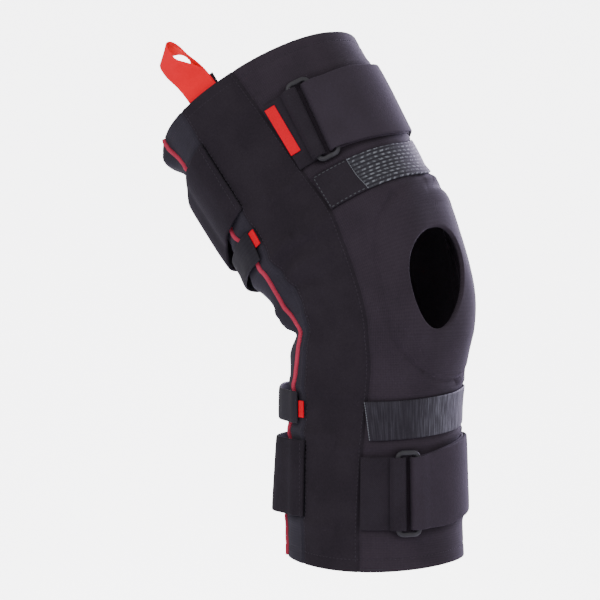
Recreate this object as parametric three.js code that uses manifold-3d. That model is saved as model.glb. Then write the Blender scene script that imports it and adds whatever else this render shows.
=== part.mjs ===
import * as THREE from 'three';
import { mergeVertices } from 'three/addons/utils/BufferGeometryUtils.js';
import Module from 'manifold-3d';

/*
 * Knee stabilizer, worn on a bent leg. Millimetres, +Z up, front of the knee towards -Y,
 * the outer side of the leg towards -X. The origin is the centre of the knee inside the hollow.
 *
 * Every piece lies on one bent tube, the skin. A place on it has three numbers:
 *   station  distance along the leg's centre line, 0 at the knee, negative down the calf
 *   turn     angle around the leg in degrees, 0 in front, 90 on the outer side, 180 behind
 *   lift     distance out from the outer face of the sleeve's cloth
 */

// The leg that the sleeve is shaped by
const CALF_LENGTH = 172;
const THIGH_LENGTH = 161;
const CALF_RADIUS = 60;
const KNEE_RADIUS = 63;
const THIGH_RADIUS = 74;
const FLEXION = 33.5;
const OUTWARD_LEAN = 12.5;
const BEND_RADIUS = 85;
const CREASE_DEPTH = 6;
const CREASE_STATION = -22;
const CREASE_WIDTH = 9;

// Cloth and clearances
const SLEEVE_WALL = 3;
const SEAM_GAP = 0.3;
const LAYER_GAP = 0.6;

// Hole over the kneecap
const HOLE_HEIGHT = 69;
const HOLE_WIDTH = 45;
const HOLE_TURN = 8;
const HOLE_STATION = -4;
const HOLE_LEAN = 5;

// Straps, elastic bands and what they fasten to
const STRAP_THICKNESS = 1.5;
const ELASTIC_THICKNESS = 1.4;
const WEBBING_THICKNESS = 1.2;
const UPPER_STRAP_WIDTH = 53;
const UPPER_STRAP_STATION = 0.64 * THIGH_LENGTH;
const UPPER_STRAP_RISE = 9;
const LOWER_STRAP_WIDTH = 50;
const LOWER_STRAP_STATION = -0.73 * CALF_LENGTH;
const LOWER_STRAP_RISE = 8;
const STRAP_OVERLAP_TURN = 100;
const UPPER_ELASTIC_WIDTH = 26;
const UPPER_ELASTIC_STATION = 0.364 * THIGH_LENGTH;
const UPPER_ELASTIC_RISE = 10;
const LOWER_ELASTIC_WIDTH = 26;
const LOWER_ELASTIC_STATION = -0.442 * CALF_LENGTH;
const LOWER_ELASTIC_RISE = 4;
const BACK_STAND_OFF = 6;
const STAND_OFF_TURN = 8;
const HOOK_TAB_LENGTH = 25;

// Oblong rings
const RING_WIDTH = 19;
const RING_BAR = 3.6;
const RING_THICKNESS = 2.4;
const RING_ROOM = 1;
const RING_CORNER = 5.5;
const ANCHOR_SLOPE = 0.4;
const UPPER_RING_TURN = 39;
const LOWER_RING_TURN = 30.5;

// Small trim
const PIPING_RADIUS = 1.2;
const RED_TAB_WIDTH = 5.6;
const RED_TAB_LENGTH = 11;
const RED_TAB_THICKNESS = 1;
const LABEL_LENGTH = 35;
const LABEL_WIDTH = 7.6;
const LABEL_THICKNESS = 0.8;
const LABEL_STATION = 0.68 * THIGH_LENGTH;
const LOOP_TURN = 82;
const LOOP_WIDTH = 22;
const LOOP_HEIGHT = 47;
const LOOP_OPENING = 14;
const LOOP_TWIST = -35;
const LOOP_ROOT = 12;
const LOOP_SHOULDER = 0.5 * LOOP_HEIGHT;
const LOOP_OPENS_FROM = 0.25 * LOOP_HEIGHT;
const LOOP_OPENS_TO = 0.7 * LOOP_HEIGHT;
const LOOP_ARCH_SHARE = 0.6;
const RIM_TAB_SHIFT = -6.5;
const RIM_TAB_WIDTH = 15;
const RIM_TAB_HEIGHT = 10;

// Fineness of the faceted surfaces
const ROW_STEP = 18;
const LAST_ROW = 0.9 * THIGH_LENGTH;
const FOLD_ROW_STEP = 8;
const FOLD_ROWS_FROM = -0.278 * CALF_LENGTH;
const FOLD_ROWS_TO = 0.448 * THIGH_LENGTH;
const TURN_STEP = 10;
const HOLE_STEPS = 28;
const LOOP_STEPS = 24;
const STRAP_ROWS = 3;
const ELASTIC_ROWS = 4;

const FULL_TURN = 360;

/*
 * Where the bands climb on the inner front of the leg, as turns past a full turn's start:
 * level until from, highest between top and leave, level again after to.
 */
const CLIMB = { from: 200, top: 260, leave: 312, to: 356 };

/* Near a ring: turns before its bar over which a strap narrows and its second layer settles. */
const NARROWING = { from: 4, to: 16 };
const SETTLING = { from: 2, to: 12 };

/*
 * Sections of the leg. station is a share of CALF_LENGTH below the knee and of THIGH_LENGTH
 * above it. front, back and side are shares of the leg's radius there. boxy is the exponent
 * of the rounded section: 2 is an ellipse, more is squarer.
 */
const SECTIONS = [
  { station: -1.0, front: 0.95, back: 1.017, side: 0.99, boxy: 2.0 },
  { station: -0.64, front: 0.884, back: 0.991, side: 0.95, boxy: 2.0 },
  { station: -0.41, front: 0.857, back: 0.955, side: 0.922, boxy: 2.1 },
  { station: -0.235, front: 0.915, back: 0.851, side: 0.947, boxy: 2.3 },
  { station: -0.07, front: 0.971, back: 0.717, side: 0.987, boxy: 2.6 },
  { station: 0.093, front: 1.015, back: 0.781, side: 1.0, boxy: 2.6 },
  { station: 0.211, front: 1.133, back: 0.888, side: 1.026, boxy: 2.5 },
  { station: 0.286, front: 1.141, back: 0.952, side: 1.043, boxy: 2.4 },
  { station: 0.373, front: 1.073, back: 0.984, side: 1.013, boxy: 2.1 },
  { station: 0.528, front: 1.047, back: 0.988, side: 0.988, boxy: 2.1 },
  { station: 0.745, front: 1.053, back: 0.969, side: 0.983, boxy: 2.1 },
  { station: 1.0, front: 1.049, back: 0.96, side: 0.99, boxy: 2.0 },
];

/* Seams of one side: turn in degrees of each seam at a station, stations as in SECTIONS. */
const SEAMS = [
  { station: -1.0, front: 64, back: 104, piping: 134 },
  { station: -0.8, front: 64, back: 106, piping: 140 },
  { station: -0.5, front: 61, back: 109, piping: 129 },
  { station: -0.27, front: 57, back: 107, piping: 116 },
  { station: -0.12, front: 58, back: 101, piping: 110 },
  { station: 0.06, front: 58.5, back: 99, piping: 116 },
  { station: 0.28, front: 54, back: 100, piping: 110 },
  { station: 0.5, front: 56, back: 101, piping: 119 },
  { station: 0.82, front: 59, back: 100, piping: 124 },
  { station: 1.0, front: 61, back: 99, piping: 130 },
];

/* Upper rim: how far it stands above THIGH_LENGTH at a turn, as a share of THIGH_LENGTH. */
const RIM = [
  { turn: 0, rise: -0.014 },
  { turn: 90, rise: 0.004 },
  { turn: 180, rise: 0.045 },
];

const wasm = await Module();
wasm.setup();

const radians = THREE.MathUtils.degToRad;
const degrees = THREE.MathUtils.radToDeg;

/* A smooth curve through the rows of a table: value of one column at a place in another. */
function tableValue(rows, keyColumn, valueColumn, key) {
  const last = rows.length - 1;
  const place = THREE.MathUtils.clamp(key, rows[0][keyColumn], rows[last][keyColumn]);
  let index = 0;
  while (index < last - 1 && rows[index + 1][keyColumn] < place) {
    index += 1;
  }
  const slope = (at) => {
    const before = rows[Math.max(at - 1, 0)];
    const after = rows[Math.min(at + 1, last)];
    return (after[valueColumn] - before[valueColumn]) / (after[keyColumn] - before[keyColumn]);
  };
  const start = rows[index];
  const end = rows[index + 1];
  const span = end[keyColumn] - start[keyColumn];
  const t = (place - start[keyColumn]) / span;
  const ease = t * t * (3 - 2 * t);
  const startBend = t * (1 - t) * (1 - t) * span * slope(index);
  const endBend = t * t * (t - 1) * span * slope(index + 1);
  return start[valueColumn] * (1 - ease) + end[valueColumn] * ease + startBend + endBend;
}

function smoothStep(from, to, value) {
  return THREE.MathUtils.smoothstep(value, from, to);
}

/* Any turn, also one past a full circle, brought to 0 in front .. 180 behind. */
function sideTurn(turn) {
  const halfTurn = FULL_TURN / 2;
  const wrapped = THREE.MathUtils.euclideanModulo(turn + halfTurn, FULL_TURN) - halfTurn;
  return Math.abs(wrapped);
}

function stationShare(station) {
  return station < 0 ? station / CALF_LENGTH : station / THIGH_LENGTH;
}

function legRadius(share) {
  const end = share < 0 ? CALF_RADIUS : THIGH_RADIUS;
  return THREE.MathUtils.lerp(KNEE_RADIUS, end, Math.min(Math.abs(share), 1));
}

/* The level direction in which the thigh leans: back, and a little to the outer side. */
const leanDirection = new THREE.Vector3(0, 1, 0)
  .applyAxisAngle(new THREE.Vector3(0, 0, 1), radians(OUTWARD_LEAN));
const upright = new THREE.Vector3(0, 0, 1);

/* Point of the centre line and the angle that the leg leans there. */
function centreLine(station) {
  const flexion = radians(FLEXION);
  const halfArc = (BEND_RADIUS * flexion) / 2;
  const lean = THREE.MathUtils.clamp((station + halfArc) / BEND_RADIUS, 0, flexion);
  const below = Math.min(station + halfArc, 0);
  const above = Math.max(station - halfArc, 0);
  const level = BEND_RADIUS * (Math.cos(flexion / 2) - Math.cos(lean)) + above * Math.sin(lean);
  const height = BEND_RADIUS * (Math.sin(lean) - Math.sin(flexion / 2)) + below + above * Math.cos(lean);
  const point = leanDirection.clone().multiplyScalar(level).addScaledVector(upright, height);
  return { point, lean };
}

/* A direction given for an upright leg, leaned with the leg at a station. */
function leaned(direction, lean) {
  const along = direction.dot(leanDirection);
  const up = direction.dot(upright);
  return direction.clone()
    .addScaledVector(leanDirection, along * (Math.cos(lean) - 1) + up * Math.sin(lean))
    .addScaledVector(upright, up * (Math.cos(lean) - 1) - along * Math.sin(lean));
}

/* Distance from the centre line to the outer face of the sleeve. */
function reach(station, turn) {
  const share = stationShare(station);
  const radius = legRadius(share);
  const forward = Math.cos(radians(turn));
  const sideways = Math.sin(radians(turn));
  const depthColumn = forward > 0 ? 'front' : 'back';
  const depth = radius * tableValue(SECTIONS, 'station', depthColumn, share);
  const width = radius * tableValue(SECTIONS, 'station', 'side', share);
  const boxy = tableValue(SECTIONS, 'station', 'boxy', share);
  const sum = Math.abs(forward / depth) ** boxy + Math.abs(sideways / width) ** boxy;
  const fold = Math.exp(-(((station - CREASE_STATION) / CREASE_WIDTH) ** 2));
  return sum ** (-1 / boxy) - CREASE_DEPTH * fold * Math.max(-forward, 0);
}

/* The way out of the leg at a turn, for an upright leg. */
function outward(turn) {
  return new THREE.Vector3(-Math.sin(radians(turn)), -Math.cos(radians(turn)), 0);
}

/* The point at a station, turn and lift. */
function skin(station, turn, lift) {
  const { point, lean } = centreLine(station);
  return point.addScaledVector(leaned(outward(turn), lean), reach(station, turn) + lift);
}

function rimStation(turn) {
  return THIGH_LENGTH * (1 + tableValue(RIM, 'turn', 'rise', sideTurn(turn)));
}

function seamTurn(name, station) {
  return tableValue(SEAMS, 'station', name, stationShare(station));
}

/* A length around the leg in millimetres as degrees of turn. */
function turnOf(length, station, turn) {
  return degrees(length / reach(station, turn));
}

/* Even steps from one value to another, none longer than the step. */
function stepsBetween(from, to, step) {
  const count = Math.max(1, Math.ceil(Math.abs(to - from) / step - 1e-6));
  return Array.from({ length: count + 1 }, (_, i) => THREE.MathUtils.lerp(from, to, i / count));
}

/* Turns of a wrap: its two ends and the shared grid turns between them. */
function wrapTurns(from, to) {
  const turns = [from];
  const first = Math.floor(from / TURN_STEP) + 1;
  for (let k = first; k * TURN_STEP < to; k += 1) {
    const turn = k * TURN_STEP;
    if (turn - from > TURN_STEP / 4 && to - turn > TURN_STEP / 4) {
      turns.push(turn);
    }
  }
  turns.push(to);
  return turns;
}

/* A closed geometry from points and quads or triangles given as lists of point numbers. */
function closedGeometry(points, faces) {
  const index = [];
  for (const face of faces) {
    for (let k = 1; k < face.length - 1; k += 1) {
      index.push(face[0], face[k], face[k + 1]);
    }
  }
  let volume = 0;
  for (let k = 0; k < index.length; k += 3) {
    const [a, b, c] = [points[index[k]], points[index[k + 1]], points[index[k + 2]]];
    volume += a.dot(new THREE.Vector3().crossVectors(b, c));
  }
  if (volume < 0) {
    index.reverse();
  }
  const geometry = new THREE.BufferGeometry();
  geometry.setAttribute('position', new THREE.Float32BufferAttribute(points.flatMap((p) => p.toArray()), 3));
  geometry.setIndex(index);
  geometry.computeVertexNormals();
  return geometry;
}

/* A curved slab: point(row, column, face) gives its inner face 0 and its outer face 1. */
function slab(rowCount, columnCount, point) {
  const points = [];
  const number = (row, column, face) => (face * rowCount + row) * columnCount + column;
  for (let face = 0; face < 2; face += 1) {
    for (let row = 0; row < rowCount; row += 1) {
      for (let column = 0; column < columnCount; column += 1) {
        points.push(point(row, column, face));
      }
    }
  }
  const faces = [];
  for (let row = 0; row < rowCount - 1; row += 1) {
    for (let column = 0; column < columnCount - 1; column += 1) {
      const corners = [[row, column], [row, column + 1], [row + 1, column + 1], [row + 1, column]];
      faces.push(corners.map(([r, c]) => number(r, c, 1)));
      faces.push(corners.map(([r, c]) => number(r, c, 0)).reverse());
    }
  }
  const border = [];
  for (let column = 0; column < columnCount - 1; column += 1) {
    border.push([0, column]);
  }
  for (let row = 0; row < rowCount - 1; row += 1) {
    border.push([row, columnCount - 1]);
  }
  for (let column = columnCount - 1; column > 0; column -= 1) {
    border.push([rowCount - 1, column]);
  }
  for (let row = rowCount - 1; row > 0; row -= 1) {
    border.push([row, 0]);
  }
  border.forEach(([row, column], k) => {
    const [nextRow, nextColumn] = border[(k + 1) % border.length];
    faces.push([
      number(row, column, 0), number(nextRow, nextColumn, 0),
      number(nextRow, nextColumn, 1), number(row, column, 1),
    ]);
  });
  return closedGeometry(points, faces);
}

/* A tube: rings of points, closed on itself or capped at both ends. */
function tube(rings, closed) {
  const sides = rings[0].length;
  const faces = [];
  const ringCount = closed ? rings.length : rings.length - 1;
  for (let ring = 0; ring < ringCount; ring += 1) {
    const next = (ring + 1) % rings.length;
    for (let side = 0; side < sides; side += 1) {
      const other = (side + 1) % sides;
      faces.push([ring * sides + side, ring * sides + other, next * sides + other, next * sides + side]);
    }
  }
  if (!closed) {
    const last = (rings.length - 1) * sides;
    faces.push(Array.from({ length: sides }, (_, side) => sides - 1 - side));
    faces.push(Array.from({ length: sides }, (_, side) => last + side));
  }
  return closedGeometry(rings.flat(), faces);
}

function toManifold(geometry) {
  const bare = geometry.clone();
  bare.deleteAttribute('normal');
  const merged = mergeVertices(bare, 1e-5);
  const mesh = new wasm.Mesh({
    numProp: 3,
    vertProperties: new Float32Array(merged.getAttribute('position').array),
    triVerts: new Uint32Array(merged.getIndex().array),
  });
  return new wasm.Manifold(mesh);
}

function toGeometry(solid) {
  const mesh = solid.getMesh();
  const geometry = new THREE.BufferGeometry();
  geometry.setAttribute('position', new THREE.BufferAttribute(mesh.vertProperties, 3));
  geometry.setIndex(new THREE.BufferAttribute(mesh.triVerts, 1));
  geometry.computeVertexNormals();
  return geometry;
}

/* Stations of the sleeve's rows, closer together at the fold behind the knee. */
function sleeveRows() {
  return [
    ...stepsBetween(-CALF_LENGTH, FOLD_ROWS_FROM, ROW_STEP).slice(0, -1),
    ...stepsBetween(FOLD_ROWS_FROM, FOLD_ROWS_TO, FOLD_ROW_STEP).slice(0, -1),
    ...stepsBetween(FOLD_ROWS_TO, LAST_ROW, ROW_STEP),
  ];
}

/*
 * One cloth panel of the sleeve, from the lower rim to the upper one. left and right give
 * the turns of its seams at a station; each edge stays half a seam gap inside its seam.
 */
function sleevePanel(left, right) {
  const stations = sleeveRows();
  const widest = Math.max(...stations.map((station) => right(station) - left(station)));
  const columns = Math.max(2, Math.ceil(widest / TURN_STEP)) + 1;
  return slab(stations.length + 1, columns, (row, column, face) => {
    const guide = stations[Math.min(row, stations.length - 1)];
    const edge = turnOf(SEAM_GAP / 2, guide, left(guide));
    const share = column / (columns - 1);
    const turn = THREE.MathUtils.lerp(left(guide) + edge, right(guide) - edge, share);
    const station = row < stations.length ? guide : rimStation(turn);
    return skin(station, turn, face === 1 ? 0 : -SLEEVE_WALL);
  });
}

/* The oval core of the kneecap hole, longer through the cloth than the wall. */
function holeCore() {
  const stretch = 1 + reach(HOLE_STATION, HOLE_TURN) / BEND_RADIUS;
  const halfStation = HOLE_HEIGHT / 2 / stretch;
  const halfTurn = turnOf(HOLE_WIDTH / 2, HOLE_STATION, HOLE_TURN);
  const rings = [-2 * SLEEVE_WALL, 2 * SLEEVE_WALL].map((lift) => {
    return Array.from({ length: HOLE_STEPS }, (_, k) => {
      const angle = (2 * Math.PI * k) / HOLE_STEPS;
      const station = HOLE_STATION + halfStation * Math.sin(angle);
      const turn = HOLE_TURN + halfTurn * Math.cos(angle) - HOLE_LEAN * Math.sin(angle);
      return skin(station, turn, lift);
    });
  });
  return tube(rings, false);
}

function frontPanel() {
  const left = (station) => -seamTurn('front', station);
  const right = (station) => seamTurn('front', station);
  const cloth = toManifold(sleevePanel(left, right));
  return toGeometry(cloth.subtract(toManifold(holeCore())));
}

/* A cord laid over a seam, side 1 on the outer side of the leg and -1 on the inner. */
function piping(side) {
  const corners = 8;
  const stations = [...sleeveRows(), rimStation(seamTurn('piping', THIGH_LENGTH))];
  const middle = SEAM_GAP + PIPING_RADIUS;
  const rings = stations.map((station) => {
    const turn = side * seamTurn('piping', station);
    return Array.from({ length: corners }, (_, k) => {
      const angle = (2 * Math.PI * (k + 0.5)) / corners;
      const across = turnOf(PIPING_RADIUS * Math.cos(angle), station, turn);
      return skin(station, turn + across, middle + PIPING_RADIUS * Math.sin(angle));
    });
  });
  return tube(rings, false);
}

/*
 * A band of cloth swept along a path around the leg. The path's points have a turn and a
 * lift, both of the band's middle. edges gives the stations of its lower and upper edge.
 */
function ribbon(path, edges, thickness, rows) {
  const middle = (point) => {
    const [lower, upper] = edges(point);
    return (lower + upper) / 2;
  };
  const flat = path.map((point) => {
    const radius = reach(middle(point), point.turn);
    return { across: radians(point.turn) * radius, lift: point.lift, radius };
  });
  const normals = flat.map((_, i) => {
    const before = path[Math.max(i - 1, 0)];
    const after = path[Math.min(i + 1, path.length - 1)];
    const across = radians(after.turn - before.turn) * flat[i].radius;
    const lift = after.lift - before.lift;
    const length = Math.hypot(across, lift);
    return { across: -lift / length, lift: across / length };
  });
  return slab(rows + 1, path.length, (row, column, face) => {
    const point = path[column];
    const [lower, upper] = edges(point);
    const station = THREE.MathUtils.lerp(lower, upper, row / rows);
    const offset = thickness * (face - 0.5);
    const turn = point.turn + degrees((normals[column].across * offset) / flat[column].radius);
    return skin(station, turn, point.lift + normals[column].lift * offset);
  });
}

/* Lift of the middle of a band's first layer: on the cloth, and over the piping behind. */
function wrapLift(turn, start, thickness) {
  const around = sideTurn(turn);
  const overPiping = smoothStep(start, start + STAND_OFF_TURN, around);
  return LAYER_GAP + thickness / 2 + BACK_STAND_OFF * overPiping;
}

/* Bands climb on the inner front of the leg, where they are pulled tight. */
function wrapRise(turn, rise) {
  const climbing = smoothStep(CLIMB.from, CLIMB.top, turn);
  return rise * climbing * (1 - smoothStep(CLIMB.leave, CLIMB.to, turn));
}

/* Round the end of a ring's bar: a half circle from under the bar to over it. */
function aroundBar(barTurn, barLift, bend, station, direction) {
  const steps = 6;
  return Array.from({ length: steps + 1 }, (_, k) => {
    const angle = (Math.PI * k) / steps;
    const across = direction * bend * Math.sin(angle);
    return { turn: barTurn + turnOf(across, station, barTurn), lift: barLift - bend * Math.cos(angle) };
  });
}

function ringLift() {
  return LAYER_GAP + STRAP_THICKNESS + SEAM_GAP + RING_THICKNESS / 2;
}

/* Sizes of a strap's ring that the strap, the ring and its anchor share. */
function ringPlace(strap) {
  const halfWidth = turnOf(RING_WIDTH / 2, strap.station, strap.ringTurn);
  const bar = turnOf(RING_BAR, strap.station, strap.ringTurn);
  const round = turnOf(RING_THICKNESS / 2, strap.station, strap.ringTurn);
  return {
    length: strap.width + 2 * RING_ROOM,
    slotLength: strap.width + 2 * RING_ROOM - 2 * RING_CORNER - 2 * SEAM_GAP,
    slotNear: strap.ringTurn - halfWidth + bar - round,
    slotFar: strap.ringTurn + halfWidth - bar + round,
    nearEdge: strap.ringTurn - halfWidth,
    farEdge: strap.ringTurn + halfWidth,
  };
}

/* An oblong ring with flat bars, bent to the leg. */
function strapRing(strap) {
  const cornerSteps = 4;
  const sectionCorners = 8;
  const place = ringPlace(strap);
  const halfLength = place.length / 2;
  const halfWidth = RING_WIDTH / 2;
  const outline = [];
  const corners = [[1, 1, 0], [-1, 1, 90], [-1, -1, 180], [1, -1, 270]];
  const radius = RING_CORNER - RING_BAR / 2;
  for (const [sideSign, endSign, start] of corners) {
    for (let k = 0; k <= cornerSteps; k += 1) {
      const angle = radians(start + (90 * k) / cornerSteps);
      outline.push({
        across: sideSign * (halfWidth - RING_CORNER) + radius * Math.cos(angle),
        along: endSign * (halfLength - RING_CORNER) + radius * Math.sin(angle),
        outAcross: Math.cos(angle),
        outAlong: Math.sin(angle),
      });
    }
    if (sideSign === endSign) {
      continue;
    }
    const straight = halfLength - RING_CORNER;
    for (const along of stepsBetween(endSign * straight, -endSign * straight, ROW_STEP).slice(1, -1)) {
      outline.push({ across: sideSign * (halfWidth - RING_BAR / 2), along, outAcross: sideSign, outAlong: 0 });
    }
  }
  const rings = outline.map((spot) => {
    return Array.from({ length: sectionCorners }, (_, k) => {
      const angle = (2 * Math.PI * (k + 0.5)) / sectionCorners;
      const out = ((RING_BAR / 2) * Math.cos(angle)) / Math.cos(Math.PI / sectionCorners);
      const up = ((RING_THICKNESS / 2) * Math.sin(angle)) / Math.cos(Math.PI / sectionCorners);
      const across = spot.across + spot.outAcross * out;
      const station = strap.station + spot.along + spot.outAlong * out;
      const turn = strap.ringTurn + turnOf(across, strap.station, strap.ringTurn);
      return skin(station, turn, ringLift() + up);
    });
  });
  return tube(rings, true);
}

/*
 * A wide strap: sewn in at the outer back seam, round the back, the inner side and the
 * front, up through the ring, around its near bar and back over itself.
 */
function wideStrap(strap) {
  const place = ringPlace(strap);
  const seam = seamTurn('back', strap.station);
  const start = seam + turnOf(SEAM_GAP, strap.station, seam);
  const barTurn = FULL_TURN + place.slotNear;
  const bend = RING_THICKNESS / 2 + SEAM_GAP + STRAP_THICKNESS / 2;
  const firstLift = (turn) => wrapLift(turn, seam, STRAP_THICKNESS);
  const first = wrapTurns(start, barTurn - TURN_STEP / 4)
    .map((turn) => ({ turn, lift: firstLift(turn) }));
  const aroundRing = aroundBar(barTurn, ringLift(), bend, strap.station, 1);
  const layer = STRAP_THICKNESS + LAYER_GAP;
  const high = ringLift() + bend;
  const overTurns = wrapTurns(barTurn - STRAP_OVERLAP_TURN, barTurn - TURN_STEP / 2).reverse();
  const over = overTurns.map((turn) => {
    const settled = smoothStep(SETTLING.from, SETTLING.to, barTurn - turn);
    return { turn, lift: THREE.MathUtils.lerp(high, firstLift(turn) + layer, settled) };
  });
  const path = [...first, ...aroundRing, ...over];
  const edges = ({ turn }) => {
    const nearRing = 1 - smoothStep(NARROWING.from, NARROWING.to, barTurn - turn);
    const width = THREE.MathUtils.lerp(strap.width, place.slotLength, nearRing);
    const middle = strap.station + wrapRise(turn, strap.rise);
    return [middle - width / 2, middle + width / 2];
  };
  return ribbon(path, edges, STRAP_THICKNESS, STRAP_ROWS);
}

/* Webbing that holds a ring: from the front seam, round the far bar and back to the seam. */
function ringAnchor(strap) {
  const place = ringPlace(strap);
  const frontSeam = seamTurn('front', strap.station);
  const seam = frontSeam - turnOf(SEAM_GAP, strap.station, frontSeam);
  const bend = RING_THICKNESS / 2 + SEAM_GAP + WEBBING_THICKNESS / 2;
  const low = LAYER_GAP + WEBBING_THICKNESS / 2;
  const high = low + WEBBING_THICKNESS + SEAM_GAP;
  const barTurn = place.slotFar;
  const pastRing = place.farEdge + turnOf(RING_ROOM, strap.station, place.farEdge);
  const shoulder = THREE.MathUtils.lerp(pastRing, seam, ANCHOR_SLOPE);
  const path = [
    { turn: seam, lift: low },
    { turn: shoulder, lift: low },
    { turn: pastRing, lift: Math.max(low, ringLift() - bend) },
    ...aroundBar(barTurn, ringLift(), bend, strap.station, -1),
    { turn: pastRing, lift: ringLift() + bend },
    { turn: shoulder, lift: high },
    { turn: seam, lift: high },
  ];
  const edges = () => [strap.station - place.slotLength / 2, strap.station + place.slotLength / 2];
  return ribbon(path, edges, WEBBING_THICKNESS, STRAP_ROWS);
}

/* An elastic band from the outer back seam around the leg to its front end. */
function elasticBand(band) {
  const seam = seamTurn('back', band.station);
  const start = seam + turnOf(SEAM_GAP, band.station, seam);
  const path = wrapTurns(start, FULL_TURN + band.endTurn)
    .map((turn) => ({ turn, lift: wrapLift(turn, seam, ELASTIC_THICKNESS) }));
  const edges = ({ turn }) => {
    const middle = band.station + wrapRise(turn, band.rise);
    return [middle - band.width / 2, middle + band.width / 2];
  };
  return ribbon(path, edges, ELASTIC_THICKNESS, ELASTIC_ROWS);
}

/* A flat piece on the skin: its middle, its length along the leg and its width around it. */
function flatPiece({ station, turn, length, width, lift, thickness }) {
  const half = turnOf(width / 2, station, turn);
  const turns = stepsBetween(turn - half, turn + half, TURN_STEP);
  const rows = stepsBetween(station - length / 2, station + length / 2, FOLD_ROW_STEP);
  return slab(rows.length, turns.length, (row, column, face) => {
    return skin(rows[row], turns[column], lift + face * thickness);
  });
}

/*
 * Axes of the rim at a turn: around the leg, up along it and out from it. inside is how far
 * the sleeve's inner face comes in from the root over a width, down to LOOP_ROOT below.
 */
function rimFrame(turn, width) {
  const { lean } = centreLine(THIGH_LENGTH);
  const up = leaned(upright, lean);
  const out = leaned(outward(turn), lean);
  const around = new THREE.Vector3().crossVectors(out, up).normalize();
  const root = skin(rimStation(turn), turn, -SLEEVE_WALL);
  const side = turnOf(width / 2, THIGH_LENGTH, turn);
  const low = rimStation(turn) - LOOP_ROOT;
  const depths = [turn - side, turn, turn + side].map((at) => {
    return skin(low, at, -SLEEVE_WALL).sub(root).dot(out);
  });
  return { root, up, out, around, inside: -Math.min(0, ...depths) + SEAM_GAP };
}

/*
 * Pull loop: webbing that rises inside the rim, opens into an eye turned sideways and
 * comes down behind itself. share runs from -1 at one foot to 1 at the other.
 */
function pullLoop() {
  const { root, up, out, around, inside } = rimFrame(LOOP_TURN, LOOP_WIDTH);
  const layer = (WEBBING_THICKNESS + SEAM_GAP) / 2;
  const inset = inside + layer + WEBBING_THICKNESS / 2;
  const path = Array.from({ length: LOOP_STEPS + 1 }, (_, k) => {
    const share = (2 * k) / LOOP_STEPS - 1;
    const down = Math.abs(share);
    const arch = Math.min(down / LOOP_ARCH_SHARE, 1);
    const height = down > LOOP_ARCH_SHARE
      ? THREE.MathUtils.mapLinear(down, LOOP_ARCH_SHARE, 1, LOOP_SHOULDER, -LOOP_ROOT)
      : LOOP_SHOULDER + (LOOP_HEIGHT - LOOP_SHOULDER) * Math.sqrt(1 - arch ** 2);
    const openness = smoothStep(LOOP_OPENS_FROM, LOOP_OPENS_TO, height);
    const open = (LOOP_OPENING / 2) * Math.sin((Math.PI * arch) / 2);
    const spread = Math.sign(share) * THREE.MathUtils.lerp(layer, open, openness);
    return { height, spread, twist: radians(LOOP_TWIST) * openness };
  });
  const middles = path.map(({ height, spread, twist }) => {
    const across = around.clone().multiplyScalar(Math.cos(twist))
      .addScaledVector(out, Math.sin(twist));
    const apart = new THREE.Vector3().crossVectors(across, up).normalize();
    const middle = root.clone().addScaledVector(out, -inset).addScaledVector(up, height);
    return { middle: middle.addScaledVector(apart, spread), across };
  });
  return slab(3, path.length, (row, column, face) => {
    const before = middles[Math.max(column - 1, 0)].middle;
    const after = middles[Math.min(column + 1, middles.length - 1)].middle;
    const forward = after.clone().sub(before).normalize();
    const { middle, across } = middles[column];
    const normal = new THREE.Vector3().crossVectors(forward, across).normalize();
    return middle.clone()
      .addScaledVector(across, (LOOP_WIDTH / 2) * (row - 1))
      .addScaledVector(normal, WEBBING_THICKNESS * (face - 0.5));
  });
}

/* Short black tab that stands up inside the loop's feet, a little to their front. */
function rimTab() {
  const { root, up, out, around, inside } = rimFrame(LOOP_TURN, LOOP_WIDTH);
  const loopFeet = 2 * WEBBING_THICKNESS + SEAM_GAP;
  const inset = inside + loopFeet + SEAM_GAP;
  return slab(2, 2, (row, column, face) => {
    return root.clone()
      .addScaledVector(up, row === 0 ? -LOOP_ROOT : RIM_TAB_HEIGHT)
      .addScaledVector(around, RIM_TAB_SHIFT + RIM_TAB_WIDTH * (column - 0.5))
      .addScaledVector(out, -inset - WEBBING_THICKNESS * (1 - face));
  });
}

const upperStrap = {
  station: UPPER_STRAP_STATION,
  width: UPPER_STRAP_WIDTH,
  rise: UPPER_STRAP_RISE,
  ringTurn: UPPER_RING_TURN,
};
const lowerStrap = {
  station: LOWER_STRAP_STATION,
  width: LOWER_STRAP_WIDTH,
  rise: LOWER_STRAP_RISE,
  ringTurn: LOWER_RING_TURN,
};

/* The turn a length short of a seam. */
function shortOf(name, length, station) {
  const seam = seamTurn(name, station);
  return seam - turnOf(length, station, seam);
}

const hookFar = shortOf('front', SEAM_GAP, UPPER_ELASTIC_STATION);
const hookTurns = turnOf(HOOK_TAB_LENGTH, UPPER_ELASTIC_STATION, hookFar);
const upperElastic = {
  station: UPPER_ELASTIC_STATION,
  width: UPPER_ELASTIC_WIDTH,
  rise: UPPER_ELASTIC_RISE,
  endTurn: hookFar - hookTurns - turnOf(SEAM_GAP, UPPER_ELASTIC_STATION, hookFar),
};
const lowerElastic = {
  station: LOWER_ELASTIC_STATION,
  width: LOWER_ELASTIC_WIDTH,
  rise: LOWER_ELASTIC_RISE,
  endTurn: shortOf('front', SEAM_GAP, LOWER_ELASTIC_STATION),
};

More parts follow.
